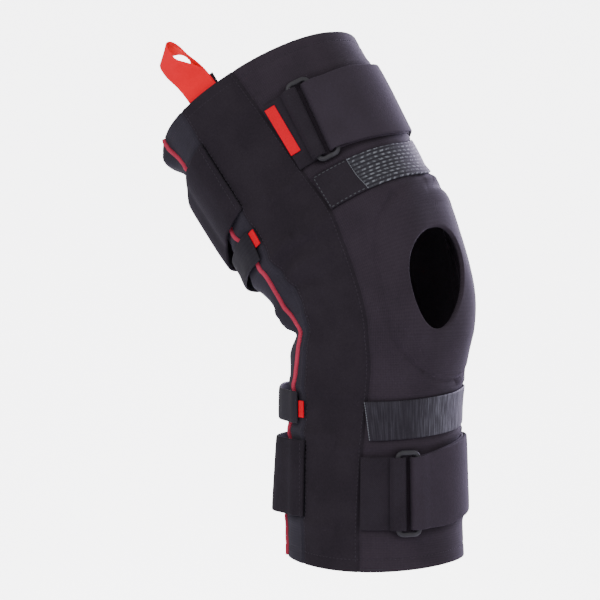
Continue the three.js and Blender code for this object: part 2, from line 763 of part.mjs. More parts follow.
const surface = (color, roughness) => new THREE.MeshStandardMaterial({ color, roughness });
const smoothCloth = surface(0x3a3640, 0.8);
const brushedCloth = surface(0x252226, 0.95);
const stripCloth = surface(0x3d424d, 0.85);
const strapCloth = surface(0x332f38, 0.9);
const elasticCloth = surface(0x4a4c55, 0.8);
const webbingCloth = surface(0x1f1e22, 0.85);
const redCloth = surface(0xe3202a, 0.7);
const ringPlastic = surface(0x2c2d31, 0.35);

const knee = new THREE.Group();

function addPiece(name, geometry, material) {
  const mesh = new THREE.Mesh(geometry, material);
  mesh.name = name;
  knee.add(mesh);
}

/* The same panel on the outer side, or mirrored to the inner side. */
function sidePanel(side, nearSeam, farSeam) {
  const near = (station) => seamTurn(nearSeam, station);
  const far = (station) => seamTurn(farSeam, station);
  if (side > 0) {
    return sleevePanel(near, far);
  }
  return sleevePanel((station) => -far(station), (station) => -near(station));
}

function backPanel() {
  const left = (station) => seamTurn('piping', station);
  const right = (station) => FULL_TURN - seamTurn('piping', station);
  return sleevePanel(left, right);
}

addPiece('front_panel', frontPanel(), smoothCloth);
addPiece('outer_side_panel', sidePanel(1, 'front', 'back'), brushedCloth);
addPiece('inner_side_panel', sidePanel(-1, 'front', 'back'), brushedCloth);
addPiece('outer_rear_strip', sidePanel(1, 'back', 'piping'), stripCloth);
addPiece('inner_rear_strip', sidePanel(-1, 'back', 'piping'), stripCloth);
addPiece('back_panel', backPanel(), stripCloth);
addPiece('outer_piping', piping(1), redCloth);
addPiece('inner_piping', piping(-1), redCloth);
addPiece('upper_strap', wideStrap(upperStrap), strapCloth);
addPiece('upper_ring', strapRing(upperStrap), ringPlastic);
addPiece('upper_ring_anchor', ringAnchor(upperStrap), webbingCloth);
addPiece('upper_elastic_band', elasticBand(upperElastic), elasticCloth);
addPiece('upper_hook_tab', flatPiece({
  station: UPPER_ELASTIC_STATION,
  turn: hookFar - hookTurns / 2,
  length: UPPER_ELASTIC_WIDTH,
  width: HOOK_TAB_LENGTH,
  lift: LAYER_GAP,
  thickness: ELASTIC_THICKNESS,
}), webbingCloth);
addPiece('lower_elastic_band', elasticBand(lowerElastic), elasticCloth);
addPiece('lower_strap', wideStrap(lowerStrap), strapCloth);
addPiece('lower_ring', strapRing(lowerStrap), ringPlastic);
addPiece('lower_ring_anchor', ringAnchor(lowerStrap), webbingCloth);
for (const [name, band] of [['upper_red_tab', upperElastic], ['lower_red_tab', lowerElastic]]) {
  addPiece(name, flatPiece({
    station: band.station,
    turn: shortOf('back', RED_TAB_WIDTH / 2 + SEAM_GAP, band.station),
    length: RED_TAB_LENGTH,
    width: RED_TAB_WIDTH,
    lift: LAYER_GAP,
    thickness: RED_TAB_THICKNESS,
  }), redCloth);
}
addPiece('label', flatPiece({
  station: LABEL_STATION,
  turn: shortOf('front', LABEL_WIDTH / 2 + SEAM_GAP, LABEL_STATION),
  length: LABEL_LENGTH,
  width: LABEL_WIDTH,
  lift: LAYER_GAP + 2 * WEBBING_THICKNESS + 2 * SEAM_GAP,
  thickness: LABEL_THICKNESS,
}), redCloth);
addPiece('pull_loop', pullLoop(), redCloth);
addPiece('rim_tab', rimTab(), webbingCloth);

export default knee;
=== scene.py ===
"""Knee stabilizer on a bent leg: cloths, webbing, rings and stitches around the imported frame."""

import logging
import math
from dataclasses import dataclass
from enum import Enum
from typing import Callable, Sequence

import bpy
import numpy as np
from mathutils import Matrix, Vector

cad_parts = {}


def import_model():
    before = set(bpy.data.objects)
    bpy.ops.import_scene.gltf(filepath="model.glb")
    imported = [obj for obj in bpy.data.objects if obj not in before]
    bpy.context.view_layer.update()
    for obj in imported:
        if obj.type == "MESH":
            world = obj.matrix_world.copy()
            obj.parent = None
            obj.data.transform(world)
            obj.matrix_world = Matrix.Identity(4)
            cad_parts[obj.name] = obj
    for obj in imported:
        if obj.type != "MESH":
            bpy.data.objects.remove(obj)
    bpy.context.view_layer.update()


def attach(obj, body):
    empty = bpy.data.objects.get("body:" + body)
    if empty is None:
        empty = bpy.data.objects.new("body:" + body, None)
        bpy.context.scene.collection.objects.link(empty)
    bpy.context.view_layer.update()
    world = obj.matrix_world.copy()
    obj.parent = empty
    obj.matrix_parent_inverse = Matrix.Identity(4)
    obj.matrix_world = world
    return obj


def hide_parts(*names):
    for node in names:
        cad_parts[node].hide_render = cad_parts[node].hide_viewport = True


LOG = logging.getLogger("knee_stabilizer")

MM = 0.001
FULL_TURN = 360.0
BODY = "root"
RIBBON_DIP = 0.3
RIBBON_EDGE = 0.38
PATCH_EDGE = 0.3
PATCH_PITCH = 1.2
LOOP_EDGE = 0.35
WELD_GAP = 0.00002
STRONG_WEAVE = 0.96
SOFT_WEAVE = 0.45

Points = np.ndarray


@dataclass(frozen=True)
class Section:
    """One section of the leg: shares of the leg's length and radius there, and how square it is."""

    station: float
    front: float
    back: float
    side: float
    boxy: float


@dataclass(frozen=True)
class SeamRow:
    """Turns in degrees of one side's seams at a station, which is a share of the leg's length."""

    station: float
    front: float
    back: float
    piping: float


@dataclass(frozen=True)
class RimRow:
    """How far the upper rim stands above the thigh's length at a turn, as a share of it."""

    turn: float
    rise: float


SECTIONS = (
    Section(-1.0, 0.95, 1.017, 0.99, 2.0),
    Section(-0.64, 0.884, 0.991, 0.95, 2.0),
    Section(-0.41, 0.857, 0.955, 0.922, 2.1),
    Section(-0.235, 0.915, 0.851, 0.947, 2.3),
    Section(-0.07, 0.971, 0.717, 0.987, 2.6),
    Section(0.093, 1.015, 0.781, 1.0, 2.6),
    Section(0.211, 1.133, 0.888, 1.026, 2.5),
    Section(0.286, 1.141, 0.952, 1.043, 2.4),
    Section(0.373, 1.073, 0.984, 1.013, 2.1),
    Section(0.528, 1.047, 0.988, 0.988, 2.1),
    Section(0.745, 1.053, 0.969, 0.983, 2.1),
    Section(1.0, 1.049, 0.96, 0.99, 2.0),
)

SEAMS = (
    SeamRow(-1.0, 64, 107.5, 135),
    SeamRow(-0.8, 64, 108, 141),
    SeamRow(-0.5, 61, 109, 129),
    SeamRow(-0.27, 57, 107, 116),
    SeamRow(-0.12, 58, 101, 110),
    SeamRow(0.06, 58.5, 99, 116),
    SeamRow(0.28, 54, 100, 110),
    SeamRow(0.5, 56, 101, 119),
    SeamRow(0.82, 59, 100, 124),
    SeamRow(1.0, 61, 99, 130),
)

RIM = (RimRow(0, -0.014), RimRow(90, 0.004), RimRow(180, 0.045))


def smooth_curve(rows: Sequence, key: str, column: str, places: np.ndarray) -> np.ndarray:
    """A smooth curve through the rows of a table.

    Args:
        rows: table rows in rising order of the key column.
        key: name of the column that places are read against.
        column: name of the column whose values come back.
        places: where to read the curve.

    Returns:
        The column's value at each place, held level past both ends.
    """
    keys = np.array([getattr(row, key) for row in rows], float)
    values = np.array([getattr(row, column) for row in rows], float)
    after = np.minimum(np.arange(len(keys)) + 1, len(keys) - 1)
    before = np.maximum(np.arange(len(keys)) - 1, 0)
    slopes = (values[after] - values[before]) / (keys[after] - keys[before])
    held = np.clip(places, keys[0], keys[-1])
    index = np.clip(np.searchsorted(keys, held, side="left") - 1, 0, len(keys) - 2)
    span = keys[index + 1] - keys[index]
    t = (held - keys[index]) / span
    ease = t * t * (3 - 2 * t)
    bends = t * (1 - t) ** 2 * span * slopes[index] - t * t * (1 - t) * span * slopes[index + 1]
    return values[index] * (1 - ease) + values[index + 1] * ease + bends


def smooth_step(start: float, end: float, value: np.ndarray) -> np.ndarray:
    """0 before start, 1 after end and a smooth rise between them."""
    t = np.clip((np.asarray(value, float) - start) / (end - start), 0, 1)
    return t * t * (3 - 2 * t)


def bump(distance: np.ndarray, width: float) -> np.ndarray:
    """A bell of height 1 at distance 0 that is nearly gone two widths away."""
    return np.exp(-((distance / width) ** 2))


def signed_turn(turn: np.ndarray) -> np.ndarray:
    """Any turn brought to between -180 and 180."""
    return (np.asarray(turn, float) + FULL_TURN / 2) % FULL_TURN - FULL_TURN / 2


@dataclass(frozen=True)
class Leg:
    """The bent tube that the sleeve is shaped by, in millimetres and degrees.

    A place on it is a station along the leg, a turn around it and a lift off the cloth's outer face.
    """

    calf_length: float = 172.0
    thigh_length: float = 161.0
    calf_radius: float = 60.0
    knee_radius: float = 63.0
    thigh_radius: float = 74.0
    flexion: float = 33.5
    outward_lean: float = 12.5
    bend_radius: float = 85.0
    crease_depth: float = 6.0
    crease_station: float = -22.0
    crease_width: float = 9.0
    dent_depth: float = 6.2
    dent_station: float = 46.0
    dent_turn: float = -42.0
    dent_length: float = 13.0
    dent_spread: float = 32.0
    foot_drop: float = 0.8
    foot_sag: float = 3.4
    foot_sag_turn: float = 65.0
    foot_sag_spread: float = 60.0

    def share(self, station: np.ndarray) -> np.ndarray:
        """A station as a share of the calf's or the thigh's length."""
        return np.where(station < 0, station / self.calf_length, station / self.thigh_length)

    def centre(self, station: np.ndarray) -> tuple[Points, np.ndarray]:
        """Points of the centre line and the angle that the leg leans there, in radians."""
        flexion = math.radians(self.flexion)
        half_arc = self.bend_radius * flexion / 2
        lean = np.clip((station + half_arc) / self.bend_radius, 0, flexion)
        below = np.minimum(station + half_arc, 0)
        above = np.maximum(station - half_arc, 0)
        level = self.bend_radius * (math.cos(flexion / 2) - np.cos(lean)) + above * np.sin(lean)
        height = self.bend_radius * (np.sin(lean) - math.sin(flexion / 2)) + below + above * np.cos(lean)
        lean_x, lean_y = self.lean_direction()
        return np.stack([lean_x * level, lean_y * level, height], axis=-1), lean

    def lean_direction(self) -> tuple[float, float]:
        """The level direction in which the thigh leans."""
        angle = math.radians(self.outward_lean)
        return -math.sin(angle), math.cos(angle)

    def outward(self, turn: np.ndarray, lean: np.ndarray) -> Points:
        """The way out of the leg at a turn, where the leg leans by an angle."""
        x, y = -np.sin(np.radians(turn)), -np.cos(np.radians(turn))
        lean_x, lean_y = self.lean_direction()
        along = x * lean_x + y * lean_y
        less = along * (np.cos(lean) - 1)
        return np.stack([x + lean_x * less, y + lean_y * less, -along * np.sin(lean)], axis=-1)

    def reach(self, station: np.ndarray, turn: np.ndarray) -> np.ndarray:
        """Distance from the centre line to the outer face of the sleeve."""
        station, turn = np.broadcast_arrays(np.asarray(station, float), np.asarray(turn, float))
        share = self.share(station)
        end = np.where(share < 0, self.calf_radius, self.thigh_radius)
        radius = self.knee_radius + (end - self.knee_radius) * np.minimum(np.abs(share), 1)
        forward, sideways = np.cos(np.radians(turn)), np.sin(np.radians(turn))
        front = smooth_curve(SECTIONS, "station", "front", share)
        back = smooth_curve(SECTIONS, "station", "back", share)
        depth = radius * np.where(forward > 0, front, back)
        width = radius * smooth_curve(SECTIONS, "station", "side", share)
        boxy = smooth_curve(SECTIONS, "station", "boxy", share)
        total = np.abs(forward / depth) ** boxy + np.abs(sideways / width) ** boxy
        fold = bump(station - self.crease_station, self.crease_width)
        dent = bump(station - self.dent_station, self.dent_length)
        dent = dent * bump(signed_turn(turn) - self.dent_turn, self.dent_spread)
        lost = self.crease_depth * fold * np.maximum(-forward, 0) + self.dent_depth * dent
        return total ** (-1 / boxy) - lost

    def skin(self, station: np.ndarray, turn: np.ndarray, lift: np.ndarray) -> Points:
        """The points at stations, turns and lifts."""
        station, turn = np.broadcast_arrays(np.asarray(station, float), np.asarray(turn, float))
        point, lean = self.centre(station)
        distance = self.reach(station, turn) + lift
        return point + self.outward(turn, lean) * distance[..., None]

    def seam(self, name: str, station: np.ndarray) -> np.ndarray:
        """Turn of a seam of the outer side at a station."""
        return smooth_curve(SEAMS, "station", name, self.share(np.asarray(station, float)))

    def rim(self, turn: np.ndarray) -> np.ndarray:
        """Station of the upper rim at a turn."""
        rise = smooth_curve(RIM, "turn", "rise", np.abs(signed_turn(turn)))
        return self.thigh_length * (1 + rise)

    def foot(self, turn: np.ndarray) -> np.ndarray:
        """Station of the lower rim at a turn."""
        sag = self.foot_sag * bump(signed_turn(turn) - self.foot_sag_turn, self.foot_sag_spread)
        return -self.calf_length - self.foot_drop - sag

    def turn_of(self, length: float, station: np.ndarray, turn: np.ndarray) -> np.ndarray:
        """A length around the leg as degrees of turn."""
        return np.degrees(length / self.reach(station, turn))


LEG = Leg()


@dataclass(frozen=True)
class Fall:
    """A stretch of turns over which a band goes a share of its way to its height behind the leg."""

    share: float
    first: float
    last: float


FALLS = (Fall(0.25, 97, 116), Fall(0.15, 118, 134), Fall(0.6, 132, 158))


@dataclass(frozen=True)
class Band:
    """A strap or an elastic band around the leg.

    Its middle runs at the station, shifted by start at the outer back seam, by behind at the back, by
    rise on the inner side and by end at its front end.
    """

    station: float
    width: float
    rise: float
    thickness: float
    start: float = 0.0
    behind: float = 0.0
    end: float = 0.0
    level_turn: float = 356.0
    back_width: float = 0.0
    stand_off: float = 6.0
    off_turn: float = 132.0
    flare: float = 0.0
    first_turn: float = 80.0
    widen_turns: tuple[float, float] = (180.0, 250.0)
    rise_turns: tuple[float, float] = (200.0, 262.0)
    front_turn: float = 312.0
    end_turn: float = 420.0
    off_before: float = 12.0
    off_after: float = 10.0
    contact: float = 0.15
    side_gap: float = 0.45
    side_turns: tuple[float, float] = (-6.0, -2.0)
    piping_rise: float = 2.3
    piping_reach: float = 11.0

    def middle(self, turn: np.ndarray) -> np.ndarray:
        """Station of the band's middle at a turn from 0 at the front to 360 and on."""
        fall = sum(part.share * smooth_step(part.first, part.last, turn) for part in FALLS)
        back = self.start + (self.behind - self.start) * fall
        inner = back + (self.rise - back) * smooth_step(*self.rise_turns, turn)
        high = inner * (1 - smooth_step(self.front_turn, self.level_turn, turn))
        return self.station + high + self.end * smooth_step(self.front_turn, self.end_turn, turn)

    def width_at(self, turn: np.ndarray) -> np.ndarray:
        """Width of the band at a turn from 0 at the front to 360 and on."""
        back = self.back_width or self.width
        return self.width + (back - self.width) * (1 - smooth_step(*self.widen_turns, turn))

    def away(self, turn: np.ndarray) -> np.ndarray:
        """How much of its stand-off the band has at a turn, from 0 to 1."""
        around = np.abs(signed_turn(turn))
        return smooth_step(self.off_turn - self.off_before, self.off_turn + self.off_after, around)

    def lift(self, turn: np.ndarray, seam: float) -> np.ndarray:
        """Lift of the band's middle: on the cloth, over the piping, and off the leg behind it."""
        around = np.abs(signed_turn(turn))
        low, high = self.side_turns
        base = self.contact + self.side_gap * (1 - smooth_step(seam + low, seam + high, around))
        over = self.piping_rise * smooth_step(seam, seam + self.piping_reach, around)
        off = (self.stand_off - self.piping_rise) * self.away(turn)
        return base + self.thickness / 2 + over + off

    def beside(self, station: np.ndarray, turn: np.ndarray) -> np.ndarray:
        """How far a place lies outside the band's edges, less than 0 under the band."""
        around = np.asarray(turn, float) % FULL_TURN
        around = np.where(around < self.first_turn, around + FULL_TURN, around)
        return np.abs(station - self.middle(around)) - self.width_at(around) / 2


UPPER_STRAP = Band(
    station=104.3, width=52.0, rise=7.7, thickness=2.0, start=6.1, behind=-9.3, stand_off=10.0,
    off_turn=146.0
)
LOWER_STRAP = Band(
    station=-125.6, width=50.0, rise=8.0, thickness=2.0, start=6.6, behind=6.6, level_turn=394.0,
    stand_off=8.0, flare=1.2
)
UPPER_ELASTIC = Band(
    station=58.6, width=26.0, rise=10.0, thickness=1.4, start=1.2, behind=-1.0, back_width=21.0,
    stand_off=5.0, off_turn=138.0
)
LOWER_ELASTIC = Band(
    station=-74.2, width=25.0, rise=2.0, thickness=1.4, start=0.4, behind=4.6, end=-5.0, back_width=21.0
)
BANDS = (UPPER_STRAP, LOWER_STRAP, UPPER_ELASTIC, LOWER_ELASTIC)
LOWER_END_SLANT = 0.13


@dataclass(frozen=True)
class Fold:
    """A soft fold between two places, each a station and a turn, with its height and half width."""

    start: tuple[float, float]
    end: tuple[float, float]
    height: float
    width: float


FOLDS = (
    Fold(start=(41, 101), end=(50, 68), height=2.2, width=4.5),
    Fold(start=(34, 101), end=(37, 71), height=-2.6, width=3.4),
    Fold(start=(27, 103), end=(24, 66), height=2.2, width=4.5),
    Fold(start=(19, 101), end=(12, 76), height=-2.2, width=3.6),
    Fold(start=(-14, 106), end=(8, 84), height=1.2, width=5.0),
    Fold(start=(-32, 108), end=(-34, 76), height=1.1, width=6.0),
    Fold(start=(-44, 110), end=(-52, 84), height=-0.9, width=5.0),
    Fold(start=(-14, -104), end=(18, -70), height=1.4, width=6.0),
    Fold(start=(2, -106), end=(34, -74), height=-1.2, width=5.0),
    Fold(start=(-30, -106), end=(-34, -78), height=1.1, width=6.0),
    Fold(start=(-8, 128), end=(2, 176), height=0.6, width=5.0),
    Fold(start=(-36, 130), end=(-44, 178), height=1.2, width=5.0),
    Fold(start=(-8, -128), end=(2, -176), height=1.1, width=5.0),
    Fold(start=(-36, -130), end=(-44, -178), height=1.1, width=5.0),
    Fold(start=(-17, 47), end=(-53, 12), height=-0.5, width=2.0),
    Fold(start=(9, 43), end=(26, 34), height=-0.5, width=2.0),
    Fold(start=(158, 36), end=(134, 38), height=-0.5, width=1.6),
    Fold(start=(42, -6), end=(38, -44), height=1.6, width=2.6),
    Fold(start=(36, -4), end=(32, -44), height=-1.3, width=2.6),
)


@dataclass(frozen=True)
class Hole:
    """The oval hole over the kneecap and the soft pad around it."""

    height: float = 70.0
    width: float = 55.0
    turn: float = 5.4
    station: float = -2.5
    lean: float = 6.8
    square: float = 2.12
    egg: float = 0.23
    pad_station: float = -5.0
    pad_turn: float = -8.0
    pad_height: float = 100.0
    pad_width: float = 112.0
    pad_rise: float = 0.45
    pad_groove: float = 1.25
    pad_slope: float = 0.06
    pad_line: float = 0.03

    def half_station(self) -> float:
        """Half the hole's height, measured along the leg's centre line."""
        stretch = 1 + float(LEG.reach(self.station, self.turn)) / LEG.bend_radius
        return self.height / 2 / stretch

    def half_turn(self) -> float:
        """Half the hole's width in degrees."""
        return float(LEG.turn_of(self.width / 2, self.station, self.turn))

    def edge(self, angle: np.ndarray, size: float = 1.0) -> tuple[np.ndarray, np.ndarray]:
        """Stations and turns of the hole's edge, or of an oval around it, at angles."""
        x, y = np.cos(angle), np.sin(angle)
        size = size * (np.abs(x) ** self.square + np.abs(y) ** self.square) ** (-1 / self.square)
        station = self.station + size * self.half_station() * y
        turn = self.turn + size * (self.half_turn() * x * (1 + self.egg * y) - self.lean * y)
        return station, turn

    def from_pad(self, station: np.ndarray, turn: np.ndarray) -> np.ndarray:
        """Distance from the middle of the soft pad around the hole, 1 on the pad's edge."""
        up = (station - self.pad_station) / (self.pad_height / 2)
        across = (signed_turn(turn) - self.pad_turn) / (self.pad_width / 2)
        return np.hypot(up, across)


HOLE = Hole()


@dataclass(frozen=True)
class Relief:
    """Low forms of the worn sleeve: seam valleys, folds, hems and the press of the bands."""

    seam_depth: float = 0.9
    seam_width: float = 1.5
    welt: float = 0.4
    welt_away: float = 1.9
    welt_width: float = 0.9
    pucker: float = 0.14
    pucker_pitch: float = 7.0
    pucker_away: float = 3.0
    pucker_width: float = 2.5
    fold_bow: float = 0.08
    fold_end: float = 0.35
    lower_hem: float = 8.0
    upper_hem: float = 6.4
    hem_depth: float = 0.45
    hem_width: float = 1.1
    press: float = 0.35
    press_edge: tuple[float, float] = (-2.5, 2.0)
    bulge: float = 0.8
    bulge_away: float = 4.0
    bulge_width: float = 2.8
    wave: float = 0.45
    knee_bulge: float = 7.5
    knee_start: tuple[float, float] = (-27.0, -17.0)
    knee_end: tuple[float, float] = (4.0, 34.0)
    knee_turns: tuple[float, float] = (112.0, 128.0)
    rim_bulge: float = 8.0
    rim_bulge_station: float = 155.0
    rim_bulge_width: float = 9.0
    rim_turns: tuple[float, float] = (123.0, 141.0)

    def seams(self, station: np.ndarray, turn: np.ndarray) -> np.ndarray:
        """Valleys along the seams, and the puckers beside them."""
        lift = np.zeros_like(station)
        around = signed_turn(turn)
        radius = LEG.reach(station, turn)
        for name in ("front", "back", "piping"):
            distance = np.radians(np.abs(around) - LEG.seam(name, station)) * radius
            lift -= self.seam_depth * bump(distance, self.seam_width)
            lift += self.welt * bump(distance - self.welt_away, self.welt_width)
            ripple = np.sin(2 * np.pi * station / self.pucker_pitch)
            lift += self.pucker * ripple * bump(np.abs(distance) - self.pucker_away, self.pucker_width)
        return lift

    def folds(self, station: np.ndarray, turn: np.ndarray) -> np.ndarray:
        """The soft folds of the table."""
        lift = np.zeros_like(station)
        around = signed_turn(turn)
        scale = math.radians(LEG.knee_radius)
        for fold in FOLDS:
            x0, y0 = fold.start[1] * scale, fold.start[0]
            x1, y1 = fold.end[1] * scale, fold.end[0]
            dx, dy = x1 - x0, y1 - y0
            length = math.hypot(dx, dy)
            x, y = around * scale - x0, station - y0
            along = np.clip((x * dx + y * dy) / length**2, 0, 1)
            bow = self.fold_bow * length * np.sin(np.pi * along)
            off = np.hypot(x - along * dx - bow * dy / length, y - along * dy + bow * dx / length)
            swell = np.sin(np.pi * np.clip(along, 0.02, 0.98))
            taper = self.fold_end + (1 - self.fold_end) * swell
            lift += fold.height * taper * bump(off, fold.width)
        return lift

    def waves(self, station: np.ndarray, turn: np.ndarray) -> np.ndarray:
        """Slow unevenness of a worn cloth."""
        angle = np.radians(turn)
        first = np.sin(station / 17 + 2.1 * np.sin(angle) + 0.7) * np.sin(3 * angle + station / 41)
        second = np.sin(station / 9.5 - 1.7 * np.cos(2 * angle)) * np.sin(5 * angle - station / 23 + 1.3)
        return self.wave * (0.6 * first + 0.4 * second)

    def hems(self, station: np.ndarray, turn: np.ndarray) -> np.ndarray:
        """Stitched lines just inside both rims."""
        low = station - LEG.foot(turn) - self.lower_hem
        high = LEG.rim(turn) - self.upper_hem - station
        return -self.hem_depth * (bump(low, self.hem_width) + bump(high, self.hem_width))

    def pad(self, station: np.ndarray, turn: np.ndarray) -> np.ndarray:
        """The ring-shaped pad around the kneecap hole, which shows through the cloth."""
        away = HOLE.from_pad(station, turn)
        rise = HOLE.pad_rise * (1 - smooth_step(1 - HOLE.pad_slope, 1 + HOLE.pad_slope, away))
        return rise - HOLE.pad_groove * bump(away - 1, HOLE.pad_line)

    def behind(self, station: np.ndarray, turn: np.ndarray) -> np.ndarray:
        """Full forms of the cloth behind the leg: over the knee's crease and under the upper rim."""
        around = np.abs(signed_turn(turn))
        knee = smooth_step(*self.knee_start, station) * (1 - smooth_step(*self.knee_end, station))
        top = smooth_step(*self.rim_turns, around)
        top = top * bump(station - self.rim_bulge_station, self.rim_bulge_width)
        return self.knee_bulge * knee * smooth_step(*self.knee_turns, around) + self.rim_bulge * top

    def lift(self, station: np.ndarray, turn: np.ndarray) -> np.ndarray:
        """The whole relief at places on the sleeve."""
        station, turn = np.broadcast_arrays(np.asarray(station, float), np.asarray(turn, float))
        station = station.astype(float)
        free = self.folds(station, turn) + self.waves(station, turn) + self.pad(station, turn)
        for band in BANDS:
            beside = band.beside(station, turn)
            under = 1 - smooth_step(*self.press_edge, beside)
            free = free * (1 - under) - self.press * under
            free = free + self.bulge * bump(beside - self.bulge_away, self.bulge_width)
        return free + self.seams(station, turn) + self.hems(station, turn) + self.behind(station, turn)


RELIEF = Relief()


def sleeve_skin(station: np.ndarray, turn: np.ndarray, lift: np.ndarray) -> Points:
    """Points at a lift over the sleeve's cloth, with its folds."""
    return LEG.skin(station, turn, RELIEF.lift(station, turn) + lift)


def deselect_all() -> None:
    """Leaves no object selected."""
    bpy.ops.object.select_all(action="DESELECT")


def named(piece: bpy.types.Object, name: str) -> bpy.types.Object:
    """Gives a piece and its mesh one name."""
    piece.name = name
    piece.data.name = name
    return piece


def points_of(mesh: bpy.types.Mesh) -> Points:
    """The points of a mesh as rows of three numbers."""
    flat = np.empty(len(mesh.vertices) * 3)
    mesh.vertices.foreach_get("co", flat)
    return flat.reshape(-1, 3)


def move_points(mesh: bpy.types.Mesh, points: Points, pattern: np.ndarray) -> None:
    """Puts a mesh's points in place and writes their pattern coordinates, both given in millimetres."""
    mesh.vertices.foreach_set("co", (points * MM).ravel())
    corner = np.empty(len(mesh.loops), int)
    mesh.loops.foreach_get("vertex_index", corner)
    layer = mesh.uv_layers.active or mesh.uv_layers.new(name="pattern")
    layer.uv.foreach_set("vector", (pattern[corner] * MM).ravel())
    mesh.update()


def grid_piece(name: str, rows: int, columns: int, place: Callable) -> bpy.types.Object:
    """A sheet: a grid whose points are moved to their places.

    Args:
        name: the piece's name.
        rows: faces up the sheet.
        columns: faces across it.
        place: takes the points' shares up and across, and gives points and pattern coordinates.

    Returns:
        The new piece, one face thick.
    """
    deselect_all()
    bpy.ops.mesh.primitive_grid_add(x_subdivisions=columns, y_subdivisions=rows, size=2.0)
    piece = named(bpy.context.object, name)
    spots = points_of(piece.data)
    points, pattern = place((spots[:, 1] + 1) / 2, (spots[:, 0] + 1) / 2)
    move_points(piece.data, points, pattern)
    return piece


def apply_modifier(piece: bpy.types.Object, kind: str, **settings: object) -> None:
    """Adds a modifier with its settings and applies it."""
    modifier = piece.modifiers.new(kind.lower(), kind)
    for key, value in settings.items():
        setattr(modifier, key, value)
    deselect_all()
    piece.select_set(True)
    bpy.context.view_layer.objects.active = piece
    bpy.ops.object.modifier_apply(modifier=modifier.name)


def thicken(piece: bpy.types.Object, thickness: float, offset: float, edge: float) -> None:
    """Gives a sheet its thickness and rounds its edges.

    Args:
        piece: a sheet, one face thick.
        thickness: millimetres.
        offset: -1 for all of it inwards, 0 for half to each side.
        edge: radius of the rounded edges in millimetres.
    """
    apply_modifier(piece, "SOLIDIFY", thickness=thickness * MM, offset=offset)
    apply_modifier(piece, "BEVEL", width=edge * MM, segments=2, limit_method="ANGLE", angle_limit=1.0)
    smooth(piece)


def face_outwards(piece: bpy.types.Object) -> None:
    """Turns a closed piece's faces outwards."""
    deselect_all()
    piece.select_set(True)
    bpy.context.view_layer.objects.active = piece
    bpy.ops.object.mode_set(mode="EDIT")
    bpy.ops.mesh.select_all(action="SELECT")
    bpy.ops.mesh.normals_make_consistent(inside=False)
    bpy.ops.object.mode_set(mode="OBJECT")


def smooth(piece: bpy.types.Object) -> None:
    """Shades a piece smoothly."""
    deselect_all()
    piece.select_set(True)
    bpy.context.view_layer.objects.active = piece
    bpy.ops.object.shade_smooth()


def ribbon_piece(
    name: str,
    path: tuple[np.ndarray, np.ndarray],
    edges: Callable[[np.ndarray], tuple[np.ndarray, np.ndarray]],
    thickness: float,
    pitch: float = 1.6,
    flare: np.ndarray | float = 0.0,
    slant: np.ndarray | float = 0.0,
) -> bpy.types.Object:
    """A strap or webbing swept along a path around the leg.

    Args:
        name: the piece's name.
        path: turns and lifts of the middle of the webbing.
        edges: takes turns and gives the stations of the lower and the upper edge.
        thickness: millimetres.
        pitch: size of the faces across the width.
        flare: how far the lower edge stands out, and the upper one in, at each turn.
        slant: degrees that each millimetre above the middle lies further round, at each turn.

    Returns:
        The closed piece, with its length along the pattern's first coordinate.
    """
    turns, lifts = path
    lower, upper = edges(turns)
    middle = (lower + upper) / 2
    steps = np.linalg.norm(np.diff(LEG.skin(middle, turns, lifts), axis=0), axis=1)
    length = np.concatenate([[0.0], np.cumsum(steps)])
    last = len(turns) - 1
    rows = max(2, math.ceil(float(np.max(upper - lower)) / pitch))
    tilt = np.broadcast_to(flare, lifts.shape)
    skew = np.broadcast_to(slant, lifts.shape)

    def place(up: np.ndarray, across: np.ndarray) -> tuple[Points, np.ndarray]:
        """Points of the webbing's middle face."""
        index = np.rint(across * last).astype(int)
        station = lower[index] + (upper - lower)[index] * up
        dip = RIBBON_DIP * np.abs(2 * up - 1) ** 6
        turn = turns[index] + skew[index] * (station - middle[index])
        points = LEG.skin(station, turn, lifts[index] - dip + tilt[index] * (1 - 2 * up))
        return points, np.stack([length[index], station - middle[index]], axis=-1)

    piece = grid_piece(name, rows, last, place)
    thicken(piece, thickness, 0.0, thickness * RIBBON_EDGE)
    return piece


def tube_piece(name: str, line: Points, radius: float, sides: int = 12) -> bpy.types.Object:
    """A round cord along a line of points in millimetres, closed at both ends."""
    curve = bpy.data.curves.new(name, "CURVE")
    curve.dimensions = "3D"
    curve.bevel_depth = radius * MM
    curve.bevel_resolution = sides // 4
    curve.use_fill_caps = True
    spline = curve.splines.new("POLY")
    spline.points.add(len(line) - 1)
    spline.points.foreach_set("co", np.hstack([line * MM, np.ones((len(line), 1))]).ravel())
    piece = bpy.data.objects.new(name, curve)
    bpy.context.scene.collection.objects.link(piece)
    deselect_all()
    piece.select_set(True)
    bpy.context.view_layer.objects.active = piece
    bpy.ops.object.convert(target="MESH")
    piece = named(bpy.context.object, name)
    smooth(piece)
    return piece


def settle(piece: bpy.types.Object, nodes: Sequence[str], finish: "Finish") -> bpy.types.Object:
    """Dresses a piece, and says what it rides on and which nodes it stands for.

    Args:
        piece: the finished mesh.
        nodes: names of the CAD nodes that it replaces.
        finish: its finish.

    Returns:
        The same piece.
    """
    piece.data.materials.clear()
    piece.data.materials.append(finish.material())
    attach(piece, BODY)
    if nodes:
        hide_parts(*nodes)
    LOG.info("%s: %d faces", piece.name, len(piece.data.polygons))
    return piece


